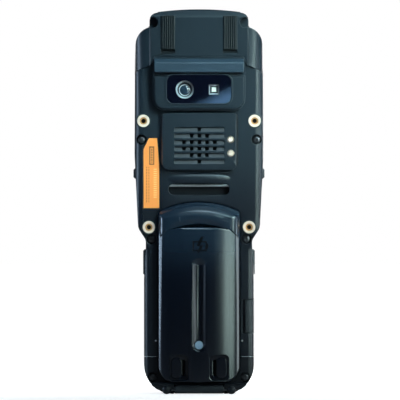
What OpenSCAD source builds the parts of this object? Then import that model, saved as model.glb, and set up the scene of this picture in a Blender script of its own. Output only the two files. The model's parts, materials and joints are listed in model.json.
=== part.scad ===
// Rugged handheld barcode data terminal, standing on its lower end.
// +Z runs to the scanner head, -Y out of the battery side. The origin is at the bottom centre.

/* [Body] */
// Height from the lower end to the crown of the scanner head
body_h = 211; // [200:1:256]
// Width of the upper body
upper_w = 71; // [68:0.5:86]
// Width of the grip
grip_w = 60.4; // [58:0.2:68]
// How far the upper front stands forward of the centre
front_y = 18; // [17:0.5:20]
// How far the keypad face stands forward of the centre
keypad_y = 15; // [14:0.5:15.5]
// How far the upper back stands behind the centre
back_y = 9; // [8.5:0.5:10]
// Wall of both shells
wall = 2.2; // [1.6:0.1:2.4]
// Height of the lower bumper
bumper_h = 20.6; // [19:0.2:25]
// Radius of the two lower corners
lower_corner_r = 16; // [8:1:18]

/* [Camera and scanner] */
// Width of the camera hump
hump_w = 50.6; // [42:0.2:54]
// Height of the camera hump
hump_h = 19.2; // [18.5:0.1:20]
// How far the hump stands off the back
hump_d = 5; // [4:0.5:6]
// Width of the camera window
window_w = 35.2; // [30:0.2:38]
// Outer diameter of the lens ring
ring_d = 9.8; // [8:0.1:10.5]
// Side of the square flash
flash_w = 5.6; // [4:0.1:6.5]
// Width of the scan window in the top face
scan_w = 40; // [30:1:44]

/* [Battery] */
// Width of the battery pack
battery_w = 44.6; // [37:0.2:45]
// How far the pack's crown stands behind the centre
battery_y = 18; // [16.5:0.5:19]
// Wall of the pack's cover
cover_wall = 1.6; // [1.2:0.1:2]
// Running gap round the pack
battery_gap = 0.35; // [0.25:0.05:0.5]

/* [Display and keys] */
// Width of the visible display
display_w = 56; // [46:1:58]
// Height of the visible display
display_h = 76; // [64:1:78]
// Width of a number key
key_w = 13.5; // [10:0.5:14]
// Height of a number key
key_h = 6.6; // [5:0.2:7]
// Spacing of the key columns
key_pitch = 16.5; // [15.5:0.5:17]
// Gap round each key, button and latch
key_gap = 0.3; // [0.2:0.05:0.4]
// Travel of the keys and side buttons
key_travel = 0.7; // [0.4:0.1:0.7]

/* [Mounts and fasteners] */
// Distance between the two upper threaded inserts
upper_insert_span = 61; // [56:0.5:61]
// Distance between the two lower threaded inserts
lower_insert_span = 55; // [53:0.5:56]
// Radius of the hole in an insert
insert_hole_r = 1.25; // [1:0.05:1.6]
// Radius of an insert's flange
insert_flange_r = 3.4; // [2.8:0.05:3.6]
// Radius of the port lid's pin
lid_pin_r = 1; // [0.8:0.1:1.2]
// Radius of the flap's pin
flap_pin_r = 0.6; // [0.5:0.05:0.7]
// Radial clearance of a hinge pin in its moving barrel
pin_fit = 0.06; // [0.03:0.01:0.1]

/* [Hidden] */
NUMBER_KEYS = ["key_1", "key_2", "key_3", "key_4", "key_5", "key_6",
               "key_7", "key_8", "key_9", "key_star", "key_0", "key_hash"];

// Colours of the mouldings and metals
CHARCOAL = [0.09, 0.11, 0.13];
SLATE = [0.13, 0.16, 0.19];
JET = [0.04, 0.05, 0.07];
BRASS = [0.80, 0.70, 0.45];
GOLD = [0.90, 0.80, 0.55];
STEEL = [0.62, 0.64, 0.66];
ORANGE = [0.93, 0.58, 0.22];
BOARD_GREEN = [0.05, 0.28, 0.16];

$fn = 48;
eps = 0.01;
face_gap = 0.2;       // between pieces that close against each other
shell_gap = 0.3;      // between nested walls
arc_steps = 8;        // flat facets in a rounded corner

// Depth stack
part_y = 5;           // rear shell ends here and the gasket begins
gasket_d = 0.8;
rail_y = 8;           // back of the rails beside the battery
bay_floor_y = 5;      // floor of the battery bay, behind the centre
bay_floor_d = 2;
tilt_relief = 0.8;
board_y = 2;          // back face of the main board
board_d = 1.6;
keyboard_y = 9;       // back face of the keypad board
keyboard_d = 1.2;
display_d = 4.2;      // glass and display together

// Heights, counted down from the head or up from the base
neck_z = body_h - 127.5;
shoulder_z = body_h - 120;
seam_z = body_h - 26;            // top cap's lower edge at the middle
lobe_z = body_h - 38.5;          // top cap's lower edge at the sides
hump_top_z = body_h - 36.3;
visor_top_z = seam_z - 0.6;
speaker_top_z = body_h - 57;
speaker_h = 31;
strap_z = body_h - 98.8;
battery_top_z = body_h - 105.7;
battery_bottom_z = 6.8;
roll_z = body_h - 119.3;         // lower edge of the finger roll on the pack
grip_len = neck_z - bumper_h;
scan_button_z = bumper_h + 0.82 * grip_len;
flap_z = bumper_h + 0.35 * grip_len;
side_button_z = body_h - 90;
display_z = body_h - 112;        // lower edge of the visible display

half_upper = upper_w / 2;
half_grip = grip_w / 2;
half_battery = battery_w / 2;

// ---------- outline helpers ----------

function unit(v) = v / norm(v);
function turn(d) = d > 180 ? d - 360 : d < -180 ? d + 360 : d;

// The points that round corner b, between its neighbours a and c, to radius r
function fillet(a, b, c, r) =
  r <= 0 ? [b] :
  let (
    u = unit(a - b),
    v = unit(c - b),
    half = acos(u * v) / 2,
    centre = b + unit(u + v) * r / sin(half),
    p = b + u * r / tan(half) - centre,
    q = b + v * r / tan(half) - centre,
    start = atan2(p.y, p.x),
    sweep = turn(atan2(q.y, q.x) - start))
  [for (i = [0:arc_steps]) let (a = start + sweep * i / arc_steps) centre + r * [cos(a), sin(a)]];

function flat2(c) = [c[0], c[1]];

// An outline from corners given as [x, y, radius]
function rounded(corners) =
  let (n = len(corners))
  [for (i = [0:n - 1])
    let (before = corners[(i + n - 1) % n], after = corners[(i + 1) % n])
    each fillet(flat2(before), flat2(corners[i]), flat2(after), corners[i][2])];

// A right half and its mirror image as one closed list of corners
function both_halves(right) =
  concat(right, [for (i = [len(right) - 1:-1:0]) [-right[i][0], right[i][1], right[i][2]]]);

module slab(w, h, r) polygon(rounded([
  [w / 2, -h / 2, r], [w / 2, h / 2, r], [-w / 2, h / 2, r], [-w / 2, -h / 2, r]]));

// Extrusions along Y (children drawn in x, z) and along X (children drawn in y, z)
module along_y(y0, y1) translate([0, y1, 0]) rotate([90, 0, 0]) linear_extrude(y1 - y0) children();
module along_x(x0, x1) translate([x0, 0, 0]) rotate([90, 0, 90]) linear_extrude(x1 - x0) children();
module rod_y(x, z, r, y0, y1) translate([x, y1, z]) rotate([90, 0, 0]) cylinder(r = r, h = y1 - y0);
module rod_x(y, z, r, x0, x1) translate([x0, y, z]) rotate([0, 90, 0]) cylinder(r = r, h = x1 - x0);
module block(lo, hi) translate(lo) cube(hi - lo);
module both_sides() {
  children();
  mirror([1, 0, 0]) children();
}

// ---------- outer form ----------

case_outline = rounded(both_halves([
  [half_grip, 0, lower_corner_r],
  [half_grip, neck_z - 20, 30],
  [half_grip - 1, neck_z - 4, 5],
  [half_grip - 1, neck_z + 1, 4],
  [half_upper - 2.1, shoulder_z, 7],
  [half_upper - 0.1, body_h - 80, 70],
  [half_upper - 0.4, body_h - 12, 8]]));

case_side = rounded([
  [-rail_y, 0, 2], [keypad_y, 0, 3], [keypad_y, neck_z + 4, 6], [front_y, neck_z + 11, 6],
  [front_y, body_h - 12, 4], [-back_y, body_h - 12, 4], [-back_y, neck_z + 9, 8], [-rail_y, neck_z + 2, 8]]);

grip_section = rounded([
  [half_grip, -rail_y, 3.5], [half_grip, keypad_y, 5],
  [-half_grip, keypad_y, 5], [-half_grip, -rail_y, 3.5]]);

upper_section = rounded([
  [half_upper, -back_y, 5], [half_upper, front_y, 5], [-half_upper, front_y, 5], [-half_upper, -back_y, 5]]);

// The whole case as a solid, shrunk by d
module case_solid(d) intersection() {
  along_y(-40, 40) offset(delta = -d) polygon(case_outline);
  along_x(-80, 80) offset(delta = -d) polygon(case_side);
  union() {
    linear_extrude(neck_z + 1) offset(delta = -d) polygon(grip_section);
    translate([0, 0, neck_z - 4 + d]) linear_extrude(body_h) offset(delta = -d) polygon(upper_section);
  }
}

// Everything above the cap's seam, which drops over the sides as two lobes
module cap_zone(drop) along_y(-50, 50) translate([0, -drop]) polygon(concat(
  [for (p = [[24.5, seam_z], [26.6, seam_z - 4.7], [half_upper - 1.5, lobe_z + 4.8], [half_upper + 1, lobe_z],
             [half_upper + 30, lobe_z], [half_upper + 30, body_h + 50]]) p],
  [for (p = [[-half_upper - 30, body_h + 50], [-half_upper - 30, lobe_z], [-half_upper - 1, lobe_z],
             [1.5 - half_upper, lobe_z + 4.8], [-26.6, seam_z - 4.7], [-24.5, seam_z]]) p]));

head_hw = half_upper - 8.3;       // half width of the scanner head above the shoulders
crown_r = 170;

// The cap's outside as a solid, shrunk by d
module cap_solid(d) intersection() {
  along_y(-40, 40) offset(delta = -d) union() {
    polygon(rounded(both_halves([
      [half_upper + 0.2, lobe_z - 20, 0], [half_upper - 0.4, body_h - 26, 20],
      [half_upper - 0.9, body_h - 9.6, 10], [head_hw, body_h - 9.6, 0.6], [head_hw, body_h - 1.9, 4.5]])));
    polygon([for (i = [-10:10]) let (x = i * (head_hw - 4.5) / 10) [x, body_h - x * x / (2 * crown_r)],
             [head_hw - 4.5, body_h - 6], [4.5 - head_hw, body_h - 6]]);
  }
  along_x(-80, 80) offset(delta = -d) polygon(rounded([
    [-back_y - 2, lobe_z - 20, 0], [front_y, lobe_z - 20, 0],
    [front_y, body_h - 6, 7], [front_y - 6, body_h, 3],
    [-back_y + 0.2, body_h, 2.4], [-back_y - 2, body_h - 4, 4]]));
  linear_extrude(body_h + 10) offset(delta = -d) polygon(rounded([
    [head_hw - 0.6, -back_y - 2, 0.6], [head_hw, -back_y - 1.3, 0.3], [half_upper + 0.2, -back_y - 0.6, 8],
    [half_upper + 0.2, front_y, 5], [-half_upper - 0.2, front_y, 5], [-half_upper - 0.2, -back_y - 0.6, 8],
    [-head_hw, -back_y - 1.3, 0.3], [0.6 - head_hw, -back_y - 2, 0.6]]));
}

// How far the pack's arched upper edge has dropped at x
arch_r = 50;
function arch_drop(x) = arch_r - sqrt(arch_r * arch_r - x * x);

// Outline of the battery pack with its arched upper edge, grown by g
pack_corner_r = 9;
module pack_outline(g) offset(delta = g) polygon(rounded(concat(
  [[half_battery, battery_bottom_z, pack_corner_r]],
  [[half_battery, battery_top_z - arch_drop(half_battery), 2.5]],
  [for (i = [8:-1:-8]) let (x = i * (half_battery - 3) / 9) [x, battery_top_z - arch_drop(x), 0]],
  [[-half_battery, battery_top_z - arch_drop(half_battery), 2.5]],
  [[-half_battery, battery_bottom_z, pack_corner_r]])));

// ---------- shells ----------

upper_screw = [half_upper - 4, body_h - 71.5];
lower_screw = [half_grip - 4.2, neck_z + 1.5];
base_screw = [half_grip - 4.9, 9.3];
insert_up = [upper_insert_span / 2, body_h - 61.2];
insert_low = [lower_insert_span / 2, body_h - 119.5];
SHELL_SCREWS = [upper_screw, lower_screw];
screw_head_r = 2.2;
screw_recess_r = 2.8;
screw_head_d = 1.6;
screw_r = 1.2;
screw_seat_y = 5;     // the heads' seats lie this far behind the centre
screw_tip_y = 10;
insert_body_r = 2.3;
insert_d = 6;
insert_flange_d = 0.8;
boss_r = 3.7;

module at_screws(places) for (p = places, side = [-1, 1]) translate([side * p[0], 0, p[1]]) children();
rear_boss_r = screw_recess_r + 0.9;
module rear_boss() rod_y(0, 0, rear_boss_r, -back_y + 1, part_y);
module front_boss() rod_y(0, 0, 2.6, part_y + gasket_d, screw_tip_y + 1.4);

// The part of the case between the bumper and the cap's seam, from y0 to y1, with wall d
module shell_wall(y0, y1, d) intersection() {
  difference() {
    case_solid(0);
    case_solid(d);
  }
  difference() {
    block([-60, y0, bumper_h], [60, y1, body_h]);
    cap_zone(face_gap);
  }
}

// Thin lips that reach up into the cap and down into the bumper
lip_low_z = 11;
lip_high_z = body_h - 17;
cap_wall = 2.4;
bumper_wall = 2.6;
lip_t = 1.4;
lip_root = 3;                     // overlap that joins a lip to its shell
module lip_room(y0, y1) {
  block([-60, max(y0, -bay_floor_y + 2.9), lip_low_z], [60, y1, bumper_h + lip_root]);
  block([-60, y0, lobe_z - lip_root], [60, min(y1, front_y - wall - display_d - 0.4), lip_high_z]);
}
module shell_lip(y0, y1) difference() {
  intersection() {
    union() {
      case_solid(bumper_wall + shell_gap);
      difference() {
        intersection() {
          case_solid(wall - eps);
          block([-60, y0, bumper_h], [60, y1, body_h]);
        }
        cap_zone(face_gap);
      }
    }
    lip_room(y0, y1);
  }
  case_solid(bumper_wall + shell_gap + lip_t);
}

button_w = 7.4;                   // of side buttons, along the depth
button_y = -0.4;                  // their centre
side_button_h = 5.8;
scan_button_h = 14.3;

// A pocket right through one side wall for a button at height z
module button_hole(z, h)
  along_x(20, 60) translate([button_y, z]) slab(button_w + 2 * key_gap, h + 2 * key_gap, 1.4);

// Room for the flap and its barrel in the right side
flap_h = 18;
flap_t = 1.5;
flap_ear = 3;                     // height of the ears that hold the flap's pin
flap_pin_end = 2;                 // how far the pin reaches into each ear
flap_x = half_grip - 1.9;         // inner face of the flap
flap_axis = [half_grip - 1.5, 3];
flap_barrel_r = 1.4;
flap_back_y = -rail_y;
flap_slot_x = half_battery + 1.4; // finger slot beside the pack
module flap_room(g) {
  block([flap_x - g, flap_back_y - 5, flap_z - flap_h / 2 - g], [60, flap_axis[1], flap_z + flap_h / 2 + g]);
  block([flap_slot_x, flap_back_y - 5, flap_z - flap_h / 2 - g],
        [60, flap_back_y + flap_t + g, flap_z + flap_h / 2 + g]);
  rod_z(flap_axis[0], flap_axis[1], flap_barrel_r + g, flap_z - flap_h / 2 - g, flap_z + flap_h / 2 + g);
  block([flap_axis[0], flap_axis[1] - 1, flap_z - flap_h / 2 - g],
        [60, flap_axis[1] + flap_barrel_r + g, flap_z + flap_h / 2 + g]);
}

module flap_pin()
  rod_z(flap_axis[0], flap_axis[1], flap_pin_r,
        flap_z - flap_h / 2 - flap_pin_end, flap_z + flap_h / 2 + flap_pin_end);

strap_w = 33.6;
strap_slot_h = 6;
strap_floor_y = 4;
bulge_r = 4.4;                    // of the rounded band above the slot
bulge_proud = 1.6;
bulge_w = strap_w + 3;
bulge_z = strap_z + 6;
strap_bar_r = 0.75;
strap_bar_z = strap_z + 2.1;
strap_bar_y = -back_y + 1.4;

label_x = [-half_upper + 5.1, -half_upper + 13.7];
label_z = [body_h - 109, body_h - 70.7];
label_d = 0.3;

speaker_x = 0.3;
speaker_w = 40.3;
speaker_d = 3;                    // stands off the back
speaker_bottom_z = speaker_top_z - speaker_h;
window_z = hump_top_z - 7.6;      // centre of the camera window
window_h = 15.6;
lens_x = -7.8;
flash_x = 8.2;
optics_z = window_z - 0.2;

module rear_shell() color(SLATE) difference() {
  union() {
    shell_wall(-30, part_y, wall);
    shell_lip(-30, part_y);
    intersection() {
      case_solid(0);
      difference() {
        union() {
          // walls and floor of the battery bay
          along_y(-30, -bay_floor_y + bay_floor_d) pack_outline(battery_gap + 1.4);
          // block behind the strap slot
          block([-strap_w / 2 - 3, -30, strap_z - 6], [strap_w / 2 + 3, -strap_floor_y + 1.2, strap_z + 7]);
          at_screws(SHELL_SCREWS) rear_boss();
          // posts under the main board
          both_sides() for (z = [shoulder_z + 6, lobe_z - 10]) rod_y(16, z, 1.6, -back_y + 1, board_y);
          both_sides() for (z = [bumper_h + 6, neck_z - 6]) rod_y(20, z, 1.4, -bay_floor_y, board_y);
          // pocket of the side flap, with the ears that hold its pin
          block([flap_x - 2.6, -30, flap_z - flap_h / 2 - flap_ear],
                [60, part_y, flap_z + flap_h / 2 + flap_ear]);
        }
        block([-60, -30, -1], [60, 30, bumper_h]);
        cap_zone(face_gap);
      }
    }
    // seats of the threaded inserts
    for (p = [insert_up, insert_low], side = [-1, 1])
      rod_y(side * p[0], p[1], boss_r, -back_y, -back_y + insert_d + 1.5);
    // rounded band above the strap slot
    translate([0, -back_y + bulge_r - bulge_proud, bulge_z]) rotate([0, 90, 0]) rotate_extrude()
      polygon(concat([[0, -bulge_w / 2], [0, bulge_w / 2]], [for (i = [10:-1:-10])
        let (t = abs(i) / 10) [bulge_r - (bulge_proud + 0.3) * t * t * t, i * bulge_w / 20]]));
  }
  // battery bay
  along_y(-30, -bay_floor_y) pack_outline(battery_gap);
  block([-half_battery - battery_gap, -30, -1], [half_battery + battery_gap, -bay_floor_y, bumper_h + 20]);
  // relief behind the pack's upper edge, which swings inwards as the pack tilts
  along_y(-30, -bay_floor_y + tilt_relief) intersection() {
    pack_outline(battery_gap);
    translate([-half_upper, battery_top_z - 6]) square([upper_w, 12]);
  }
  // pockets for the pack's two top hooks
  for (x = [-hook_x, hook_x])
    block([x - hook_w / 2 - 0.5, -hook_y[0] - 0.6, battery_top_z - 8],
          [x + hook_w / 2 + 0.5, -bay_floor_y + 1.4, battery_top_z + hook_rise + 0.5]);
  // strap slot
  along_y(-30, -strap_floor_y) translate([0, strap_z]) slab(strap_w, strap_slot_h, strap_slot_h / 2 - 0.05);
  rod_x(strap_bar_y, strap_bar_z, strap_bar_r, -strap_w / 2 - 1.5, strap_w / 2 + 1.5);
  // the spring contacts reach the pack through the floor
  contact_holes(-30);
  // sound, camera and flash openings behind their covers
  along_y(-30, 0) translate([louvre_x, louvre_z]) slab(30, 24, 3);
  rod_y(lens_x, optics_z, ring_d / 2 + 0.3, -30, 0);
  along_y(-30, 0) translate([flash_x, optics_z]) slab(flash_w + 0.6, flash_w + 0.6, 0.5);
  // contact pins pass through
  for (z = PIN_HEIGHTS) rod_y(pin_x, z, pin_r + 1.1, -30, 0);
  for (p = [insert_up, insert_low], side = [-1, 1]) {
    rod_y(side * p[0], p[1], insert_body_r, -30, -back_y + insert_d);
    rod_y(side * p[0], p[1], insert_flange_r, -30, -back_y + insert_flange_d);
  }
  at_screws(SHELL_SCREWS) {
    rod_y(0, 0, screw_recess_r, -30, -screw_seat_y);
    rod_y(0, 0, screw_r + 0.1, -30, part_y + 1);
  }
  both_sides() {
    button_hole(side_button_z, side_button_h);
    button_hole(scan_button_z, scan_button_h);
  }
  block([label_x[0] - 0.2, -30, label_z[0] - 0.2], [label_x[1] + 0.2, -back_y + label_d, label_z[1] + 0.2]);
  flap_room(key_gap);
  flap_pin();
  // opening of the side socket
  along_x(flap_x - 12, flap_x) translate([socket_y, flap_z]) slab(socket_w + 0.4, socket_h + 0.4, 1);
}

keypad_top_z = neck_z + 1;
key_rows = 4;
key_flange = 0.9;                 // how far a key's flange reaches past its cap
key_row_pitch = key_h + 2 * key_flange + 0.2;
// the arrow key and the front scan key share what the rows leave
keypad_rest = keypad_top_z - 1.5 - 2 - 3 - key_rows * key_row_pitch - 3 - bumper_h;
nav_w = 18;
nav_h = 0.65 * keypad_rest;
scan_key_h = 0.35 * keypad_rest;
nav_z = keypad_top_z - nav_h / 2 - 1.5;
scan_key_z = nav_z - nav_h / 2 - 2 - scan_key_h / 2;
function key_place(i) =
  [(1 - i % 3) * key_pitch, bumper_h + 3 + key_row_pitch * (key_rows - 0.5 - floor(i / 3))];
mat_x = half_grip - 6;
keypad_low_z = bumper_h + lip_root + 0.3;

module key_hole(x, z, w, h, r)
  along_y(keypad_y - wall - 1, 60) translate([x, z]) slab(w + 2 * key_gap, h + 2 * key_gap, r);

module front_shell() color(CHARCOAL) difference() {
  union() {
    shell_wall(part_y + gasket_d, 30, wall);
    shell_lip(part_y + gasket_d, 30);
    intersection() {
      case_solid(0);
      difference() {
        union() {
          at_screws(SHELL_SCREWS) front_boss();
          // posts behind the keypad board's corners
          for (side = [-1, 1], z = [keypad_low_z + 1, keypad_top_z - 2])
            rod_y(side * (mat_x + 1.2), z, 1, keyboard_y + keyboard_d, keypad_y - 1);
        }
        cap_zone(face_gap);
      }
    }
  }
  along_y(0, 60) translate([0, display_z + display_h / 2]) slab(display_w, display_h, 2.5);
  // slot of the earpiece
  along_y(0, 60) translate([0, receiver_z]) slab(12, 1.6, 0.8);
  for (i = [0:len(NUMBER_KEYS) - 1]) key_hole(key_place(i)[0], key_place(i)[1], key_w, key_h, 1.6);
  key_hole(0, nav_z, nav_w, nav_h, 0.3 * nav_h);
  key_hole(0, scan_key_z, nav_w, scan_key_h, 0.42 * scan_key_h);
  at_screws(SHELL_SCREWS) rod_y(0, 0, screw_r + 0.03, part_y - 1, screw_tip_y + 0.5);
}

module shell_gasket() color(JET) intersection() {
  difference() {
    case_solid(0.5);
    case_solid(1.7);
  }
  difference() {
    block([-60, part_y, bumper_h], [60, part_y + gasket_d, body_h]);
    cap_zone(face_gap);
  }
}

module top_cap() color(SLATE) difference() {
  union() {
    intersection() {
      difference() {
        cap_solid(0);
        cap_solid(cap_wall);
      }
      cap_zone(0);
    }
    intersection() {
      // tunnel of the scan window
      translate([0, scan_y, body_h - 14]) linear_extrude(14) slab(scan_w + 3, scan_d + 3, 2);
      cap_solid(0.5);
    }
    intersection() {
      both_sides() rod_y(notch[0], notch[1], notch_r + 1.3, -back_y - 1, -back_y + notch_d + 1.2);
      cap_solid(0.3);
    }
    // ridged grip strips on the back
    both_sides() for (i = [0:strip_ridges - 1])
      block([strip_x + i * strip_pitch, -back_y - 2.6, strip_z[0]],
            [strip_x + (i + 0.55) * strip_pitch, -back_y - 1, strip_z[1]]);
    both_sides() block([strip_x - 0.4, -back_y - 2.3, strip_z[0]],
                       [strip_x + strip_ridges * strip_pitch + 0.2, -back_y - 1, strip_z[1]]);
  }
  translate([0, scan_y, body_h - 20]) linear_extrude(40) slab(scan_w, scan_d, 1.5);
  both_sides() {
    // screw pockets in the shoulders
    rod_y(notch[0], notch[1], notch_r, -40, -back_y + notch_d);
    // slot below each grip strip
    block([strip_x - 0.3, -40, strip_z[0] - 2],
          [strip_x + strip_ridges * strip_pitch, -back_y - 0.7, strip_z[0]]);
  }
}
notch = [head_hw - 1.9, body_h - 7.3];
notch_r = 2.9;
notch_d = 3.6;
strip_x = 13.6;
strip_ridges = 6;
strip_pitch = 1.2;
strip_z = [seam_z + 4, body_h - 3.6];
scan_y = 2;
scan_d = 13;

module scan_window() color(JET) translate([0, scan_y, body_h - 6.5])
  linear_extrude(1.4) slab(scan_w - 0.1, scan_d - 0.1, 1.5);

module scan_engine() color(STEEL) {
  block([-11, scan_y - 5.5, body_h - 21], [11, scan_y + 5.5, body_h - 9]);
  rod_z(-5, scan_y, 3.2, body_h - 9, body_h - 6.9);
  rod_z(5, scan_y, 1.6, body_h - 9, body_h - 6.9);
  // legs down to the main board
  both_sides() block([8.6, board_y + board_d, lobe_z - 1], [10.6, board_y + board_d + 1.6, body_h - 20]);
}
module rod_z(x, y, r, z0, z1) translate([x, y, z0]) cylinder(r = r, h = z1 - z0);

// ---------- camera, flash and speaker ----------

visor_h = 8.2;
visor_d = 6.6;
visor_inset = 0.8;                // from the frame's edge
frame_d = 2.4;                    // the frame that carries the visor
module visor() color(SLATE) intersection() {
  along_x(-hump_w / 2 + visor_inset, hump_w / 2 - visor_inset) polygon(rounded([
    [-back_y - frame_d, visor_top_z - visor_h, 0], [-back_y - frame_d, visor_top_z, 0.8],
    [-back_y - visor_d, visor_top_z - 2.6, 1.6], [-back_y - visor_d, visor_top_z - visor_h, 0.6]]));
  along_y(-30, 0) translate([0, visor_top_z - visor_h / 2]) slab(hump_w - 2 * visor_inset, visor_h, 1);
}

module camera_bezel() color(SLATE) difference() {
  union() {
    along_y(-back_y - hump_d + 1.2, -back_y) hump_outline(0);
    along_y(-back_y - hump_d, -back_y - hump_d + 1.2) hump_outline(1);
    // frame behind the visor, up to the cap's seam
    block([-hump_w / 2, -back_y - frame_d, hump_top_z - 1], [hump_w / 2, -back_y, seam_z - face_gap]);
    // raised rim round the window
    along_y(-back_y - hump_d - 0.4, -back_y - hump_d)
      translate([0, window_z]) slab(window_w + 2, window_h + 1, 4.4);
  }
  along_y(-40, -back_y - hump_d + 1.1) translate([0, window_z]) slab(window_w + 0.1, window_h + 0.1, 3.9);
  rod_y(lens_x, optics_z, ring_d / 2 + 0.1, -40, 0);
  along_y(-40, 0) translate([flash_x, optics_z]) slab(flash_w + 0.1, flash_w + 0.1, 0.5);
  cap_zone(face_gap);
}
module hump_outline(d) offset(delta = -d) polygon(rounded([
  [hump_w / 2, hump_top_z - hump_h, 6.5], [hump_w / 2, hump_top_z, 0.5],
  [-hump_w / 2, hump_top_z, 0.5], [-hump_w / 2, hump_top_z - hump_h, 6.5]]));

window_front_y = -back_y - hump_d;
window_t = 1;
module camera_window() color([0.03, 0.03, 0.08]) along_y(window_front_y, window_front_y + window_t)
  translate([0, window_z]) slab(window_w, window_h, 3.8);

optics_y = window_front_y + 1.2;     // front of what lies behind the window
module camera_ring() color(STEEL) difference() {
  rod_y(lens_x, optics_z, ring_d / 2, optics_y, optics_y + 7);
  rod_y(lens_x, optics_z, ring_d / 2 - 1.6, optics_y - 1, optics_y + 8);
}
module camera_lens() color([0.45, 0.55, 0.65]) {
  rod_y(lens_x, optics_z, ring_d / 2 - 1.65, optics_y + 1.6, optics_y + 7);
  rod_y(lens_x, optics_z, ring_d / 2 - 0.4, optics_y + 7, board_y);
  intersection() {
    translate([lens_x, optics_y + 5.4, optics_z]) sphere(r = 5);
    rod_y(lens_x, optics_z, ring_d / 2 - 1.9, optics_y, optics_y + 2);
  }
}
module flash_led() color([0.95, 0.95, 0.92]) {
  difference() {
    along_y(optics_y, optics_y + 2) translate([flash_x, optics_z]) slab(flash_w, flash_w, 0.4);
    along_y(optics_y - 1, optics_y + 1) translate([flash_x, optics_z]) slab(flash_w - 2, flash_w - 2, 0.2);
  }
  along_y(optics_y + 0.5, optics_y + 1.5) translate([flash_x, optics_z]) slab(2.2, 2.2, 0.2);
  along_y(optics_y + 2, board_y) translate([flash_x, optics_z]) slab(3.4, 3.4, 0.2);
}

louvre_rows = 6;
louvre_pitch_x = 4.2;
louvre_pitch_z = 3.54;
louvre_w = 27.4;
louvre_x = 0.15;
louvre_z = speaker_bottom_z + 13.3;  // middle of the grille
OPEN_HOLES = [0, 1, 2, 2, 1, 0];     // open cells each side of the middle column, from the top row down
speaker_hole = 2;
function louvre_row_z(row) = louvre_z + (2.5 - row) * louvre_pitch_z;

PIN_HEIGHTS = [speaker_top_z - 14.5, speaker_top_z - 22];
pin_x = 17.4;
pin_r = 1.7;
pin_proud = 0.7;

speaker_flare = 1.2;              // how far its sloping sides spread to the back
module speaker_outline(d) offset(delta = -d) polygon(rounded(concat(
  [[speaker_x + speaker_w / 2, speaker_bottom_z, 6], [speaker_x + speaker_w / 2, speaker_top_z - 1.6, 1.5]],
  [for (i = [4:-1:-4]) [speaker_x + i * (speaker_w / 2 - 2) / 5, speaker_top_z - 1.4 * pow(i / 5, 2), 0]],
  [[speaker_x - speaker_w / 2, speaker_top_z - 1.6, 1.5],
   [speaker_x - speaker_w / 2, speaker_bottom_z, 6]])));

module speaker_cover() color(SLATE) difference() {
  intersection() {
    along_y(-back_y - speaker_d, -back_y) speaker_outline(-speaker_flare);
    along_x(-60, 60) polygon([
      [-back_y, speaker_bottom_z - speaker_flare], [-back_y - speaker_d, speaker_bottom_z],
      [-back_y - speaker_d, speaker_top_z], [-back_y, speaker_top_z + speaker_flare]]);
    linear_extrude(body_h) translate([speaker_x, 0]) polygon([
      [speaker_w / 2 + speaker_flare, -back_y], [speaker_w / 2, -back_y - speaker_d],
      [-speaker_w / 2, -back_y - speaker_d], [-speaker_w / 2 - speaker_flare, -back_y]]);
  }
  for (row = [0:louvre_rows - 1]) {
    // sloping louvre, deepest along its upper edge
    translate([0, 0, louvre_row_z(row)]) along_x(louvre_x - louvre_w / 2, louvre_x + louvre_w / 2) polygon([
      [-back_y - speaker_d - 1, 1.1], [-back_y - speaker_d + 1.1, 1.1], [-back_y - speaker_d, -1.3],
      [-back_y - speaker_d - 1, -1.3]]);
    for (column = [-OPEN_HOLES[row]:OPEN_HOLES[row]])
      along_y(-40, 0) translate([louvre_x + column * louvre_pitch_x, louvre_row_z(row)])
        slab(speaker_hole, speaker_hole, 0.3);
  }
  for (z = PIN_HEIGHTS) {
    rod_y(pin_x, z, pin_r + key_gap, -40, 0);
    rod_y(pin_x, z, pin_r + key_gap + 0.7, -back_y - 1.2, 0);
  }
}

module speaker_driver() color(JET) {
  rod_y(louvre_x, louvre_z, 10.5, -back_y + 0.4, -back_y + 4.5);
  rod_y(louvre_x, louvre_z, 7, -back_y + 4.5, board_y);
}

module contact_pin(i) color(GOLD) {
  rod_y(pin_x, PIN_HEIGHTS[i], pin_r, -back_y - speaker_d - pin_proud + 1, board_y - 1);
  translate([pin_x, -back_y - speaker_d - pin_proud + 1, PIN_HEIGHTS[i]]) intersection() {
    sphere(r = pin_r);
    block([-9, -1, -9], [9, 0.1, 9]);
  }
  rod_y(pin_x, PIN_HEIGHTS[i], pin_r + 0.7, -back_y - 0.9, -back_y - 0.2);
}
module upper_contact_pin() contact_pin(0);
module lower_contact_pin() contact_pin(1);

module strap_bar() color(STEEL)
  rod_x(strap_bar_y, strap_bar_z, strap_bar_r, -strap_w / 2 - 1.5, strap_w / 2 + 1.5);

module label() color(ORANGE) along_y(-back_y, -back_y + label_d) polygon([
  [label_x[0] + 3, label_z[1]], [label_x[1] - 1.2, label_z[1]],
  [label_x[1], label_z[1] - 14], [label_x[1], label_z[0]],
  [label_x[0], label_z[0]], [label_x[0], label_z[1] - 6]]);

module insert_nuts() color(BRASS) for (p = [insert_up, insert_low], side = [-1, 1]) difference() {
  union() {
    rod_y(side * p[0], p[1], insert_body_r, -back_y, -back_y + insert_d);
    rod_y(side * p[0], p[1], insert_flange_r, -back_y - 0.25, -back_y + insert_flange_d);
  }
  rod_y(side * p[0], p[1], insert_hole_r, -back_y - 1, -back_y + insert_d + 1);
}

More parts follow.
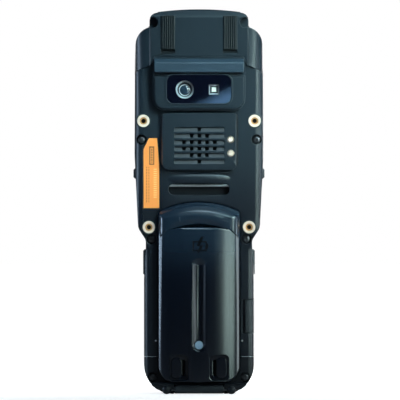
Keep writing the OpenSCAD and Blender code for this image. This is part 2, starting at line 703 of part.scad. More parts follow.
module case_screw(seat_y, tip_y) difference() {
  union() {
    rod_y(0, 0, screw_head_r, seat_y - screw_head_d, seat_y);
    rod_y(0, 0, screw_r, seat_y - eps, tip_y);
  }
  along_y(seat_y - screw_head_d - 1, seat_y - screw_head_d + 0.8)
    for (a = [0, 90]) rotate(a) slab(2.8, 0.7, 0);
}
module case_screws() color([0.25, 0.25, 0.27]) {
  at_screws(SHELL_SCREWS) case_screw(-screw_seat_y, screw_tip_y);
  at_screws([base_screw]) case_screw(-screw_seat_y, base_screw_tip_y);
}
base_screw_tip_y = 8;

// ---------- inside ----------

module board_outline() offset(delta = -bumper_wall - 2.6) polygon(case_outline);
module main_board() color(BOARD_GREEN) {
  difference() {
    along_y(board_y, board_y + board_d) intersection() {
      board_outline();
      translate([-60, bumper_h + 2]) square([120, lobe_z + 2 - bumper_h]);
    }
    at_screws(SHELL_SCREWS) rod_y(0, 0, rear_boss_r + 0.4, -10, 20);
  }
  // screening cans
  block([-14, board_y + board_d, shoulder_z + 12], [14, board_y + board_d + 2.2, shoulder_z + 40]);
  // switches behind the side buttons
  both_sides() {
    block([half_upper - 9.6, button_y - 2, side_button_z - 2],
          [switch_x(half_upper), board_y + eps, side_button_z + 2]);
    block([half_grip - 9.6, button_y - 2, scan_button_z - 3],
          [switch_x(half_grip - 0.6), board_y + eps, scan_button_z + 3]);
  }
}
function switch_x(half) = half - wall - button_flange_t - key_travel - 0.6 - 0.5;

motor_x = 19;
motor_z = shoulder_z + 12;
receiver_z = body_h - 31;
module vibration_motor() color(STEEL) rod_x(board_y - 2.2, motor_z, 2.2, motor_x - 5, motor_x + 5);
module receiver() color(STEEL) along_y(front_y - wall - 3, front_y - wall - 0.1)
  translate([0, receiver_z]) slab(14, 4, 1);
module antenna() color(GOLD)
  block([-24, front_y - wall - display_d - 0.8, lobe_z - 10], [24, front_y - wall - display_d, lobe_z + 2]);

module touch_glass() color([0.02, 0.02, 0.03]) along_y(front_y - wall - 1.3, front_y - wall - 0.1)
  translate([0, display_z + display_h / 2]) slab(display_w + 4, display_h + 5, 2);
module display_module() color(STEEL) {
  along_y(front_y - wall - display_d, front_y - wall - 1.3) translate([0, display_z + display_h / 2])
    slab(display_w + 1, display_h + 3, 1);
  along_y(board_y + board_d + 2.2, front_y - wall - display_d)
    translate([0, display_z + display_h / 2]) slab(26, 18, 1);
}

mat_d = 0.6;
// A sheet behind the keypad face, notched round the two case screws
module keypad_sheet(half_w, y0, y1) difference() {
  along_y(y0, y1) translate([0, (keypad_low_z + keypad_top_z) / 2])
    slab(2 * half_w, keypad_top_z - keypad_low_z, 2);
  at_screws([lower_screw]) rod_y(0, 0, 3.1, -60, 60);
}
module keypad_board() color(BOARD_GREEN) keypad_sheet(mat_x + 2.4, keyboard_y, keyboard_y + keyboard_d);
module keypad_mat() color([0.3, 0.3, 0.32])
  keypad_sheet(mat_x, keyboard_y + keyboard_d, keyboard_y + keyboard_d + mat_d);

// ---------- keys and buttons ----------

key_proud = 1.7;
key_flange_t = 0.8;
// A key on the front: a crowned cap with a flange that stops it behind the face
module front_key(x, z, w, h, r) {
  face = keypad_y - wall - face_gap;
  along_y(face - key_flange_t, face) translate([x, z]) slab(w + 2 * key_flange, h + 2 * key_flange, r);
  along_y(face - eps, keypad_y + key_proud - 0.6) translate([x, z]) slab(w, h, r);
  along_y(keypad_y + key_proud - 0.6, keypad_y + key_proud) translate([x, z]) slab(w - 1.2, h - 1.2, r - 0.5);
}
module number_key(i) color([0.2, 0.22, 0.24]) front_key(key_place(i)[0], key_place(i)[1], key_w, key_h, 1.6);
module scan_key() color(ORANGE) front_key(0, scan_key_z, nav_w, scan_key_h, 0.42 * scan_key_h);
module nav_key() color([0.25, 0.27, 0.3]) difference() {
  front_key(0, nav_z, nav_w, nav_h, 0.3 * nav_h);
  // finger dish
  rod_y(0, nav_z, 0.26 * nav_h, keypad_y + key_proud - 0.7, 40);
}

button_flange = 0.9;
button_flange_t = 1;
// A button through the left or right wall, at half width x
module side_press(half, x, z, h) {
  flange_x = half - wall - face_gap - 0.3;
  along_x(flange_x - button_flange_t, flange_x) translate([button_y, z])
    slab(button_w + 2 * button_flange, h + 2 * button_flange, 1.4);
  along_x(half - wall - 0.6, x - 0.5) translate([button_y, z]) slab(button_w, h, 1.3);
  along_x(x - 0.5, x) translate([button_y, z]) slab(button_w - 1, h - 1, 0.9);
}
module right_side_button() color(CHARCOAL)
  side_press(half_upper - 0.3, half_upper + 0.5, side_button_z, side_button_h);
module left_side_button() mirror([1, 0, 0]) right_side_button();
module right_scan_key() color(CHARCOAL)
  side_press(half_grip - 0.6, half_grip + 0.5, scan_button_z, scan_button_h);
module left_scan_key() mirror([1, 0, 0]) right_scan_key();

// ---------- lower end ----------

lid_axis = [-12.7, 2.8];          // y and z of the lid's pin
knuckle_r = 2.8;
knuckle_x = 17.7;                 // centre of a knuckle
knuckle_neck = 3.4;               // width of the web that carries it
lid_pin_end = knuckle_x + 1.2;
lid_barrel_r = 2.4;
lid_w = 26.6;
lid_reach = 17.6;                 // from the pin to the lid's front edge
lid_gap = 0.5;
lid_z = [0.4, 2.2];
dock_y = 1;
dock_w = 22;
dock_d = 5;
floor_z = 9;                      // top of the bumper's solid base
shelf_y = -14.6;

module end_cap() color(CHARCOAL) difference() {
  union() {
    intersection() {
      case_solid(0);
      block([-60, -30, 0], [60, 30, bumper_h - face_gap]);
    }
    // shelf below the battery pack, with the lid's knuckles
    intersection() {
      along_y(-40, 40) polygon(case_outline);
      along_x(-26, 26) polygon(rounded([
        [shelf_y, 2.6, 1.5], [-5, 2.6, 0], [-5, 6.4, 0], [shelf_y, 6.4, 1.5]]));
    }
    both_sides() translate([knuckle_x, lid_axis[0], lid_axis[1]]) sphere(r = knuckle_r);
    both_sides() block([knuckle_x - knuckle_neck / 2, lid_axis[0], 0.8],
                       [knuckle_x + knuckle_neck / 2, -5, 4.8]);
  }
  // room for the shells' lips
  intersection() {
    case_solid(bumper_wall);
    block([-60, -bay_floor_y + 2.6, floor_z], [60, 30, 60]);
  }
  // battery bay
  along_y(-40, -bay_floor_y) pack_outline(battery_gap);
  // the lid and its barrel swing here
  block([-lid_w / 2 - lid_gap, lid_axis[0] - 9, -1],
        [lid_w / 2 + lid_gap, lid_axis[0] + lid_reach + lid_gap, lid_z[1] + 0.3]);
  rod_x(lid_axis[0], lid_axis[1], lid_barrel_r + 0.4, -lid_w / 2 - lid_gap, lid_w / 2 + lid_gap);
  block([-lid_w / 2 - lid_gap, lid_axis[0] - 9, -1],
        [lid_w / 2 + lid_gap, lid_axis[0], lid_axis[1] + lid_barrel_r + 0.4]);
  // bay in front of the dock connector, and the connector's seat
  block([-12.5, dock_y - 4.4, -1], [12.5, dock_y + 4.4, 7.6]);
  block([-dock_w / 2 - 0.1, dock_y - dock_d / 2 - 0.1, 0], [dock_w / 2 + 0.1, dock_y + dock_d / 2 + 0.1, 12]);
  rod_x(lid_axis[0], lid_axis[1], lid_pin_r, -lid_pin_end, lid_pin_end);
  at_screws([base_screw]) {
    rod_y(0, 0, screw_recess_r, -30, -screw_seat_y);
    rod_y(0, 0, screw_r + 0.03, -30, base_screw_tip_y + 0.5);
  }
}

module port_lid() color(JET) difference() {
  union() {
    rod_x(lid_axis[0], lid_axis[1], lid_barrel_r, -lid_w / 2, lid_w / 2);
    block([-lid_w / 2, lid_axis[0], lid_z[0]], [lid_w / 2, lid_axis[0] + lid_reach, lid_z[1]]);
  }
  rod_x(lid_axis[0], lid_axis[1], lid_pin_r + pin_fit, -60, 60);
}

module dock_connector() color(JET) {
  difference() {
    block([-dock_w / 2, dock_y - dock_d / 2, 7], [dock_w / 2, dock_y + dock_d / 2, 15]);
    block([-dock_w / 2 + 1, dock_y - dock_d / 2 + 1, 6], [dock_w / 2 - 1, dock_y + dock_d / 2 - 1, 9]);
  }
  for (i = [0:7])
    block([(i - 3.5) * 2.4 - 0.4, dock_y - 0.5, 7.4], [(i - 3.5) * 2.4 + 0.4, dock_y + 0.5, 10]);
}

module hinge_pins() color(STEEL) {
  rod_x(lid_axis[0], lid_axis[1], lid_pin_r, -lid_pin_end, lid_pin_end);
  flap_pin();
}

socket_y = -0.5;
socket_w = 4.8;
socket_h = 10;
socket_d = 9;
module side_socket() color(STEEL) difference() {
  along_x(flap_x - socket_d - 0.5, flap_x - 0.5) translate([socket_y, flap_z]) slab(socket_w, socket_h, 1);
  along_x(flap_x - socket_d + 1, flap_x + 1)
    translate([socket_y, flap_z]) slab(socket_w - 1.4, socket_h - 1.4, 0.8);
}

module side_flap() color(CHARCOAL) difference() {
  union() {
    intersection() {
      case_solid(0);
      union() {
        block([flap_x, flap_back_y - 1, flap_z - flap_h / 2], [60, flap_axis[1], flap_z + flap_h / 2]);
        block([flap_slot_x + 1.6, flap_back_y - 1, flap_z - flap_h / 2],
              [60, flap_back_y + flap_t, flap_z + flap_h / 2]);
      }
    }
    translate([flap_axis[0], flap_axis[1], flap_z - flap_h / 2]) cylinder(r = flap_barrel_r, h = flap_h);
  }
  translate([flap_axis[0], flap_axis[1], 0]) cylinder(r = flap_pin_r + pin_fit, h = body_h);
}

// ---------- battery pack ----------

hook_x = 12;
hook_w = 8;
hook_y = [6.6, 5.4];              // back and front of a hook, behind the centre
hook_rise = 2.2;
cover_bottom_y = bay_floor_y + 0.3;

roll_h = battery_top_z - roll_z;
roll_crest = 0.28 * roll_h;       // height of its crest above its lower edge
roll_y = back_y - 1;              // depth at which the roll meets the shell
roll_crest_y = battery_y - 1.4;   // depth of its crest
crown = 4.6;                      // fall of the body's back from its middle to its sides
body_arch_r = 90;                 // of the body's upper edge
valley_y = roll_y + 1;            // depth of the crease between body and roll

// Half section of the finger roll, as distance from the arch's centre and depth
roll_section = concat(
  [[arch_r - roll_h, cover_bottom_y - 3]],
  [for (a = [-90:10:90]) let (half = a < 0 ? roll_crest : roll_h - roll_crest)
    [arch_r - roll_h + roll_crest + half * sin(a), roll_y + (roll_crest_y - roll_y) * cos(a)]],
  [[arch_r, cover_bottom_y - 3]]);

groove_w = 7.3;
groove_z = [27, 70.7];
groove_d = 2.2;
// Half section of the groove, as distance from its middle and depth
groove_half = [[groove_w / 2 + 0.6, -3], [groove_w / 2 + 0.6, -0.1], [groove_w / 2 - 0.2, 0.25],
               [0.9, groove_d - 0.12], [0.3, groove_d]];

// Section of the crowned body in x and y
body_section = concat(
  [[half_battery, 10, 0], [half_battery, -battery_y + crown + 0.8, 1.6]],
  [for (i = [18:-1:-18]) let (x = i * half_battery / 20) [x, -battery_y + body_fall(x), 0]],
  [[-half_battery, -battery_y + crown + 0.8, 1.6], [-half_battery, 10, 0]]);
function body_fall(x) = crown * pow(abs(x) / half_battery, 2.4);

// The pack's outside: an arched finger roll above a long crowned body
module pack_form(d) intersection() {
  along_y(-40, -cover_bottom_y) offset(delta = -d) pack_outline(0);
  union() {
    intersection() {
      along_x(-60, 60) offset(delta = -d) polygon(rounded([
        [-cover_bottom_y + 5, -10, 0], [-cover_bottom_y + 5, roll_z, 0], [-battery_y + 0.4, roll_z, 1.8],
        [-battery_y, battery_bottom_z + 30, 0], [-battery_y, battery_bottom_z, 3],
        [-battery_y + 6, -10, 0]]));
      linear_extrude(body_h) offset(delta = -d) polygon(rounded(body_section));
      along_y(-40, 0) offset(delta = -d) polygon(concat(
        [[half_battery + 5, -20]],
        [for (i = [10:-1:-10]) let (x = i * (half_battery + 5) / 10) [x, roll_z - x * x / (2 * body_arch_r)]],
        [[-half_battery - 5, -20]]));
    }
    intersection() {
      translate([0, 0, battery_top_z - arch_r]) rotate([90, 0, 0])
        rotate_extrude() offset(delta = -d) polygon(roll_section);
      linear_extrude(body_h) offset(delta = -d) polygon(rounded([
        [half_battery, 10, 0], [half_battery, -battery_y + 2.4, 5],
        [-half_battery, -battery_y + 2.4, 5], [-half_battery, 10, 0]]));
      block([-60, -60, roll_z - 8], [60, 60, body_h]);
    }
    along_y(-valley_y + d, 0) offset(delta = -d) pack_outline(0);
  }
}

lamp_z = 27;
latch_x = half_battery - 10;
latch_w = 5.2;
latch_h = 11;
latch_z = 14.6;
latch_travel = 2.5;
latch_dish_d = 2.6;

latch_pad_y = battery_y - 4.2;    // inner face of the cover where the latches slide
latch_t = 1.4;
lamp_r = 2.2;
tray_d = 1.2;

module battery_cover() color(CHARCOAL) difference() {
  union() {
    difference() {
      pack_form(0);
      difference() {
        pack_form(cover_wall);
        rod_y(0, lamp_z, lamp_r + 1.4, -40, -battery_y + 5);
        // the groove keeps its wall
        along_y(-40, -battery_y + groove_d + cover_wall) translate([0, (groove_z[0] + groove_z[1]) / 2])
          slab(groove_w + 2 * cover_wall, groove_z[1] - groove_z[0] + groove_w + 2 * cover_wall, 4);
        both_sides() block([5, -40, 0], [20.5, -latch_pad_y, latch_z + latch_h / 2 + 2.5]);
      }
    }
    // hooks that hold the upper edge under the shell
    for (x = [-hook_x, hook_x])
      block([x - hook_w / 2, -hook_y[0], battery_top_z - 4],
            [x + hook_w / 2, -hook_y[1], battery_top_z + hook_rise - 1.3]);
  }
  // long finger groove with the lamp at its lower end
  translate([0, -battery_y, groove_z[0]]) linear_extrude(groove_z[1] - groove_z[0])
    polygon(concat(groove_half, [for (i = [1:len(groove_half)])
      let (p = groove_half[len(groove_half) - i]) [-p[0], p[1]]]));
  for (z = groove_z) translate([0, -battery_y, z]) rotate([-90, 0, 0])
    rotate_extrude() polygon(concat(groove_half, [[0, groove_d], [0, -3]]));
  rod_y(0, lamp_z, lamp_r + 0.1, -40, 0);
  // dishes and slots in which the latch buttons slide
  for (side = [-1, 1]) translate([side * (latch_x - latch_travel / 2), 0, latch_z]) {
    along_y(-40, -battery_y + latch_dish_d) slab(latch_w + latch_travel + 2.6, latch_h + 2.6, 2.5);
    along_y(-40, 0) slab(latch_w - 1.6 + latch_travel + 2 * key_gap, latch_h - 3 + 2 * key_gap, 1);
  }
}

module battery_tray() color(JET) difference() {
  along_y(-cover_bottom_y - tray_d, -cover_bottom_y) pack_outline(-cover_wall - 0.15);
  contact_holes(-40);
  for (x = [-hook_x, hook_x])
    block([x - hook_w / 2 - 0.2, -40, battery_top_z - 4.2], [x + hook_w / 2 + 0.2, 0, battery_top_z]);
}

module battery_contacts() color(GOLD) contact_pads(-cover_bottom_y - tray_d, -cover_bottom_y, 0);
module bay_contacts() color(GOLD) contact_pads(-bay_floor_y, board_y, 0);
CONTACT_X = [-7, 0, 7];
contact_z = roll_z - 8;
contact_w = 3;
contact_h = 6;
module contact_pads(y0, y1, gap) for (x = CONTACT_X)
  along_y(y0, y1) translate([x, contact_z]) square([contact_w + gap, contact_h + gap], center = true);
module contact_holes(y0) contact_pads(y0, 0, 0.2);

cell_gap = 0.4;
cell_side_gap = 2.2;              // from a cell to the cover's wall
cell_w = half_battery - cover_wall - cell_side_gap - cell_gap / 2;
cell_z = [latch_z + latch_h / 2 + 12, roll_z - 5.2];
module battery_cells() color([0.2, 0.35, 0.6]) both_sides()
  along_y(-battery_y + cover_wall + 3.4, -cover_bottom_y - tray_d)
    translate([(cell_w + cell_gap) / 2, (cell_z[0] + cell_z[1]) / 2])
      slab(cell_w, cell_z[1] - cell_z[0], 1.5);

module charge_lamp() color([0.7, 0.85, 1])
  rod_y(0, lamp_z, lamp_r, -battery_y + groove_d - 0.3, -battery_y + 5);

module right_latch() color(CHARCOAL) {
  translate([latch_x, 0, latch_z]) {
    along_y(-battery_y + 1.7, -battery_y + latch_dish_d - 0.15) slab(latch_w, latch_h, 2);
    along_y(-battery_y + latch_dish_d - 0.16, -latch_pad_y + 0.3) slab(latch_w - 1.6, latch_h - 3, 0.8);
    along_y(-latch_pad_y + 0.2, -latch_pad_y + 0.2 + latch_t) slab(latch_w + 1, latch_h - 1, 1);
  }
  // bolt that reaches the pack's side wall
  block([latch_x, -latch_pad_y + 0.2, latch_z - 2],
        [half_battery - cover_wall - 3.6, -latch_pad_y + 0.2 + latch_t, latch_z + 2]);
}
module left_latch() mirror([1, 0, 0]) right_latch();

// ---------- assembly ----------

rear_shell();
front_shell();
shell_gasket();
top_cap();
scan_window();
scan_engine();
visor();
camera_bezel();
camera_window();
camera_ring();
camera_lens();
flash_led();
speaker_cover();
speaker_driver();
strap_bar();
label();
insert_nuts();
case_screws();
main_board();
display_module();
touch_glass();
keypad_mat();
keypad_board();
antenna();
receiver();
vibration_motor();
end_cap();
hinge_pins();
dock_connector();
side_socket();
bay_contacts();
battery_cover();
battery_cells();
battery_tray();
battery_contacts();
charge_lamp();
left_latch();
right_latch();
port_lid();
side_flap();
left_scan_key();
right_scan_key();
left_side_button();
right_side_button();
upper_contact_pin();
lower_contact_pin();
scan_key();
nav_key();
for (i = [0:len(NUMBER_KEYS) - 1]) number_key(i);
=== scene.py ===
"""Finishes and details of a portable data terminal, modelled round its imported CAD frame.

Each operator makes one piece, or one group of like pieces, on the body that carries it.
"""

import json
import math

import bmesh
import bpy
from bpy.props import FloatProperty, FloatVectorProperty, PointerProperty
from mathutils import Matrix, Vector

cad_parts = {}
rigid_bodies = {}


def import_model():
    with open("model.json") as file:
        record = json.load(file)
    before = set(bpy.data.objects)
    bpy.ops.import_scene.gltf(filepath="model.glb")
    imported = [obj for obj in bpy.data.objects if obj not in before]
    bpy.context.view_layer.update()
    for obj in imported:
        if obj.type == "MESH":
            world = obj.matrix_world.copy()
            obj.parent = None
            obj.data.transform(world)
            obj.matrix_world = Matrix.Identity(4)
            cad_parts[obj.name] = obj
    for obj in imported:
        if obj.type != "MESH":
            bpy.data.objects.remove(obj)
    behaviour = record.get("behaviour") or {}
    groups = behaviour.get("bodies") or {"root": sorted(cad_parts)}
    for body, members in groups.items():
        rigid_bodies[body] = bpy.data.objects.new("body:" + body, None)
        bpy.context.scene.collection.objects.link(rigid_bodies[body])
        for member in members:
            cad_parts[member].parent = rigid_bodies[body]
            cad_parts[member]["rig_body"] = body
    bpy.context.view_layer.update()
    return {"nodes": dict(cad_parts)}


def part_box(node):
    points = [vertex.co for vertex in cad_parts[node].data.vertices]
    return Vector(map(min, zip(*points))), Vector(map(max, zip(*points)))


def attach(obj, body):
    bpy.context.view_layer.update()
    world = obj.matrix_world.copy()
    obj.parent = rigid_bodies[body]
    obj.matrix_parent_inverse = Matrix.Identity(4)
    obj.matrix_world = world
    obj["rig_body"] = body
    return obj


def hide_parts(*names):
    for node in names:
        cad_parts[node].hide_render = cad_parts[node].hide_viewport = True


bl_info = {
    "name": "Data Terminal",
    "version": (1, 0, 0),
    "blender": (4, 5, 0),
    "location": "View3D > Sidebar > Terminal",
    "description": "Mouldings, optics, keys and battery of a portable data terminal",
    "category": "Add Mesh",
}

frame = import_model()
NODES = frame["nodes"]
MM = 0.001

# y of the rear shell's flat back, of the rails beside the pack and of the screws' flat heads
SHELL_BACK, RAIL_BACK, SCREW_BACK = -9.0 * MM, -8.0 * MM, -6.6 * MM
# heights over which the painted shade on the rear shell's lower part fades out, and the painted light on the
# pack's top fades in
LOWER_SHADE_TOP, PACK_TOP_LIGHT = (100 * MM, 135 * MM), (60 * MM, 90 * MM)
# x and z of the middle of the pack's battery sign, and of the camera's view
SIGN_PLACE, VIEW_PLACE = (0.4 * MM, 81.2 * MM), (0.55 * MM, 106.4 * MM)
# strength of the dim room that reflections see
ROOM_STRENGTH = 0.03
# edges that bend by more than the first are rounded, and faces that bend by less than the second shade as one
EDGE_ANGLE, SMOOTH_ANGLE = math.radians(30), math.radians(32)


# ---------- settings ----------

def length(name, description, default, low=0.0, high=0.05):
    return FloatProperty(name=name, description=description, default=default, min=low, max=high,
                         subtype="DISTANCE", unit="LENGTH", precision=5)


def colour(name, description, default):
    return FloatVectorProperty(name=name, description=description, default=default, size=3,
                               min=0.0, max=1.0, subtype="COLOR")


class TerminalSizes(bpy.types.PropertyGroup):
    shell_edge: length("Shell Edge", "Softening of the shells' moulded edges", 0.00030)
    visor_edge: length("Visor Edge", "Softening of the visor's edges", 0.00035)
    ridge_edge: length("Ridge Edge", "Softening of small ribs and louvres", 0.00018)
    pack_edge: length("Pack Edge", "Softening of the battery pack's edges", 0.00060)
    roll_crown: length("Roll Crown", "How far the pack's finger roll is crowned", 0.00085)
    key_edge: length("Key Edge", "Rounding of the keys and buttons", 0.00045)
    metal_edge: length("Metal Edge", "Rounding of the threaded inserts", 0.00012)
    strip_inner: length("Strip Inner", "Ridged strips' inner edge, from the middle", 0.0130)
    strip_outer: length("Strip Outer", "Ridged strips' outer edge, from the middle", 0.0211)
    strip_foot: length("Strip Foot", "Height of the foot of the slots below the strips", 0.1855, 0, 0.3)
    legend_height: length("Legend Height", "Height of the figures on the keys", 0.0034)
    legend_depth: length("Legend Depth", "Thickness of the printed figures", 0.00004)
    lens_drop: length("Lens Drop", "How far the lens sits below the middle of its ring", 0.0003)
    flash_rim: length("Flash Rim", "Width of the white frame round the flash", 0.0009)
    bore_ring: length("Bore Ring", "Radius of the bare bronze round the inserts' bores", 0.00200)
    mark_width: length("Mark Width", "Width of the battery sign pressed into the pack", 0.0078)
    mark_height: length("Mark Height", "Height of the battery sign pressed into the pack", 0.0056)
    mark_line: length("Mark Line", "Width of its line", 0.0008)
    camera_distance: length("Camera Distance", "Distance of the camera from the terminal", 3.0, 0.3, 5.0)
    view_height: length("View Height", "Height that the camera takes in at the terminal", 0.22, 0.1, 1.0)


class TerminalColours(bpy.types.PropertyGroup):
    shell: colour("Shell", "Rear shell and scanner head cover", (0.0080, 0.0132, 0.0195))
    front: colour("Front", "Front shell and lower bumper", (0.0022, 0.0034, 0.0064))
    pack: colour("Pack", "Battery pack's moulding", (0.0014, 0.0030, 0.0075))
    # painted shade: the rear shell's lower part is coloured darker to stand in for the shade that falls there
    lower_shade: colour("Lower Shade", "Rear shell where hands have darkened it", (0.0012, 0.0026, 0.0070))
    # painted light: the battery pack's upper part is lighter, standing in for light from above
    pack_top_light: colour("Pack Top Light", "Upper part of the battery pack", (0.009, 0.018, 0.031))
    # painted reflection: a lighter bluish streak painted across the camera window
    film: colour("Painted Reflection", "Dust film on the camera window", (0.075, 0.112, 0.190))
    bronze: colour("Bronze", "Bare bronze round the inserts' bores", (0.60, 0.26, 0.09))
    rubber: colour("Rubber", "Seals and port lid", (0.010, 0.013, 0.018))
    button: colour("Button", "Side buttons and side flap", (0.020, 0.025, 0.030))
    glass: colour("Window", "Camera window", (0.0012, 0.0018, 0.0055))
    label: colour("Label", "Orange label", (0.90, 0.27, 0.055))
    key: colour("Key", "Number keys", (0.050, 0.056, 0.064))
    scan_key: colour("Scan Key", "Orange scan key", (0.80, 0.27, 0.045))
    legend: colour("Legend", "Figures on the keys", (0.78, 0.80, 0.80))
    brass: colour("Brass", "Threaded inserts", (0.96, 0.70, 0.57))
    gold: colour("Gold", "Contacts", (1.0, 0.74, 0.60))
    steel: colour("Steel", "Bright metal", (0.60, 0.61, 0.63))
    lamp: colour("Lamp", "Charge lamp", (0.30, 0.42, 0.56))
    room: colour("Room", "Dim room that reflections see", (0.55, 0.68, 0.80))


# ---------- shader kit ----------

class Value:
    """A node output that Python's operators do maths on."""

    def __init__(self, nodes, socket):
        self.nodes, self.socket = nodes, socket

    def _math(self, operation, *inputs, clamp=False):
        return self.nodes.add("ShaderNodeMath", {"operation": operation, "use_clamp": clamp},
                              dict(enumerate(inputs)))

    def __add__(self, other):
        return self._math("ADD", self, other)

    def __sub__(self, other):
        return self._math("SUBTRACT", self, other)

    def __rsub__(self, other):
        return self._math("SUBTRACT", other, self)

    def __mul__(self, other):
        return self._math("MULTIPLY", self, other)

    def __pow__(self, other):
        return self._math("POWER", self, other)

    def __gt__(self, other):
        return self._math("GREATER_THAN", self, other)

    def __lt__(self, other):
        return self._math("LESS_THAN", self, other)

    def __abs__(self):
        return self._math("ABSOLUTE", self)

    def clamped(self):
        return self._math("ADD", self, 0.0, clamp=True)

    def fract(self):
        return self._math("FRACT", self)

    def step(self, low, high):
        """0 below low, 1 above high, and smooth between them."""
        return self.nodes.add("ShaderNodeMapRange", {"interpolation_type": "SMOOTHSTEP"},
                              {"Value": self, "From Min": low, "From Max": high})

    __radd__, __rmul__ = __add__, __mul__


class Nodes:
    """The node tree of one material or world, built by add() and Python expressions."""

    def __init__(self, owner, output="ShaderNodeOutputMaterial"):
        owner.use_nodes = True
        self.tree = owner.node_tree
        self.tree.nodes.clear()
        self.output = self.tree.nodes.new(output)

    def add(self, kind, settings=None, inputs=None, output=0):
        """A node of that kind, with its settings and its sockets' values or links. Gives one output."""
        node = self.tree.nodes.new(kind)
        for key, value in (settings or {}).items():
            setattr(node, key, value)
        for key, value in (inputs or {}).items():
            socket = node.inputs[key]
            if isinstance(value, Value):
                self.tree.links.new(value.socket, socket)
            elif socket.type == "RGBA" and len(value) == 3:
                socket.default_value = (*value, 1.0)
            else:
                socket.default_value = value
        return Value(self, node.outputs[output])

    def place(self):
        return self.add("ShaderNodeTexCoord", output="Object")

    def axes(self):
        split = self.add("ShaderNodeSeparateXYZ", {}, {0: self.place()})
        outputs = split.socket.node.outputs
        return [Value(self, outputs[i]) for i in range(3)]

    def noise(self, per_mm, detail=3.0, rough=0.55, stretch=(1, 1, 1)):
        """Noise of that many features in a millimetre, 0 to 1."""
        where = self.add("ShaderNodeMapping", {}, {"Vector": self.place(), "Scale": stretch})
        return self.add("ShaderNodeTexNoise", {}, {
            "Vector": where, "Scale": per_mm * 1000, "Detail": detail, "Roughness": rough})

    def mix(self, factor, a, b):
        """Colour a where factor is 0, and b where it is 1."""
        # a Mix node keeps its colour sockets behind those for numbers and vectors
        in_a, in_b, out = 6, 7, 2
        return self.add("ShaderNodeMix", {"data_type": "RGBA"}, {0: factor, in_a: a, in_b: b}, out)

    def bump(self, height, depth):
        return self.add("ShaderNodeBump", {}, {"Height": height, "Distance": depth})

    def seen(self):
        """1 for rays straight from the camera."""
        return self.add("ShaderNodeLightPath", output="Is Camera Ray")

    def end(self, shader):
        """Links the shader to the tree's output."""
        self.tree.links.new(shader.socket, self.output.inputs["Surface"])

    def finish(self, **inputs):
        """Ends the tree in a Principled shader with those inputs, spaces in their names written as _."""
        named = {key.replace("_", " "): value for key, value in inputs.items()}
        self.end(self.add("ShaderNodeBsdfPrincipled", {}, named))


def shade(rgb, factor):
    return tuple(min(1.0, c * factor) for c in rgb)


MADE = {}


def material(name, build):
    """The material of that name, made once."""
    if name not in MADE:
        made = bpy.data.materials.new(name)
        build(Nodes(made))
        MADE[name] = made
    return MADE[name]


def colours():
    return bpy.context.scene.terminal_colours


def sizes():
    return bpy.context.scene.terminal_sizes


def centre_of(node):
    low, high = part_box(node)
    return (low + high) / 2


def half_width(node):
    low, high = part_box(node)
    return (high.x - low.x) / 2


# ---------- finishes ----------

def moulded(n, base, rough, grain, depth, coat=0.0, worn=0.25, mark=None, painted_shading=None, ior=1.42):
    """Moulded plastic or rubber: slow colour drift, fine texture, faint rub marks.

    grain is the texture's features in a millimetre, and depth its depth. mark is where a sign is pressed in,
    and painted_shading a place and a colour painted there to stand in for light and shade.
    """
    drift = n.noise(0.035, 2.0)
    rub = n.noise(0.22, 5.0, 0.7, (1.0, 1.0, 0.35)).step(0.60, 0.78)
    dust = n.noise(1.1, 4.0, 0.75).step(0.56, 0.80)
    tone = n.mix(drift, shade(base, 0.86), shade(base, 1.16))
    tone = n.mix(rub * worn, tone, shade(base, 1.9))
    tone = n.mix(dust * 0.10, tone, shade(base, 2.6))
    texture = n.noise(grain, 2.0, 0.5)
    height = texture + rub * 0.25
    # painted light and shade: a patch of colour standing in for how light falls there, broken up by the rub
    # marks
    if painted_shading:
        tone = n.mix(painted_shading[0] * (rub * 0.2 + 0.8), tone, painted_shading[1])
    if mark:
        tone = n.mix(mark, tone, shade(base, 0.25))
        height = height - mark * 6.0
    n.finish(Base_Color=tone, Roughness=rough + rub * 0.07 + (texture - 0.5) * 0.08, IOR=ior,
             Coat_Weight=coat, Coat_Roughness=0.12, Normal=n.bump(height, depth))


def moulding(name, base, **look):
    """A moulded finish with no marks of its own."""
    return material(name, lambda n: moulded(n, base, **look))


def shell_plastic(name="shell_plastic", tone=1.0):
    """Rear shell plastic, with painted shade over its lower part. tone scales its colour, giving lit and
    shaded copies of it as painted light and shade.
    """
    def build(n):
        # painted shade over the shell's lower part, fading out upwards
        lower_shade = 1.0 - n.axes()[2].step(*LOWER_SHADE_TOP)
        moulded(n, shade(colours().shell, tone), rough=0.38, grain=2.4, depth=0.03 * MM,
                painted_shading=(lower_shade, colours().lower_shade))
    return material(name, build)


def painted_shade_plastic():
    """A darker copy of the shell plastic: painted shade on the ridged strips, the strap slot, the slots below
    the strips and the speaker cover's flanks.
    """
    return shell_plastic("painted_shade_plastic", 0.3)


def front_plastic():
    return moulding("front_plastic", colours().front, rough=0.44, grain=2.2, depth=0.03 * MM, ior=1.34)


def battery_sign(n):
    """1 on the lines of a battery with a flash across it, on the pack's back above its groove."""
    x, y, z = n.axes()
    across, up = x - SIGN_PLACE[0], z - SIGN_PLACE[1]
    wide, high, line = sizes().mark_width / 2, sizes().mark_height / 2, sizes().mark_line
    inside = (abs(across) < wide) * (abs(up) < high)
    hollow = (abs(across) < wide - line) * (abs(up) < high - line)
    knob = (abs(across - wide - line / 2) < line / 2) * (abs(up) < high / 2)
    # the flash is two slanting strokes side by side
    lean, shift = 0.45, 2 * MM
    upper = (abs(across - (up - shift) * lean) < line) * (abs(up - 2.6 * MM) < 2.6 * MM)
    lower = (abs(across - (up + shift) * lean) < line) * (abs(up + 1.6 * MM) < 2.0 * MM)
    back_only = y < -16.5 * MM
    return (inside - hollow + knob + upper + lower).clamped() * back_only


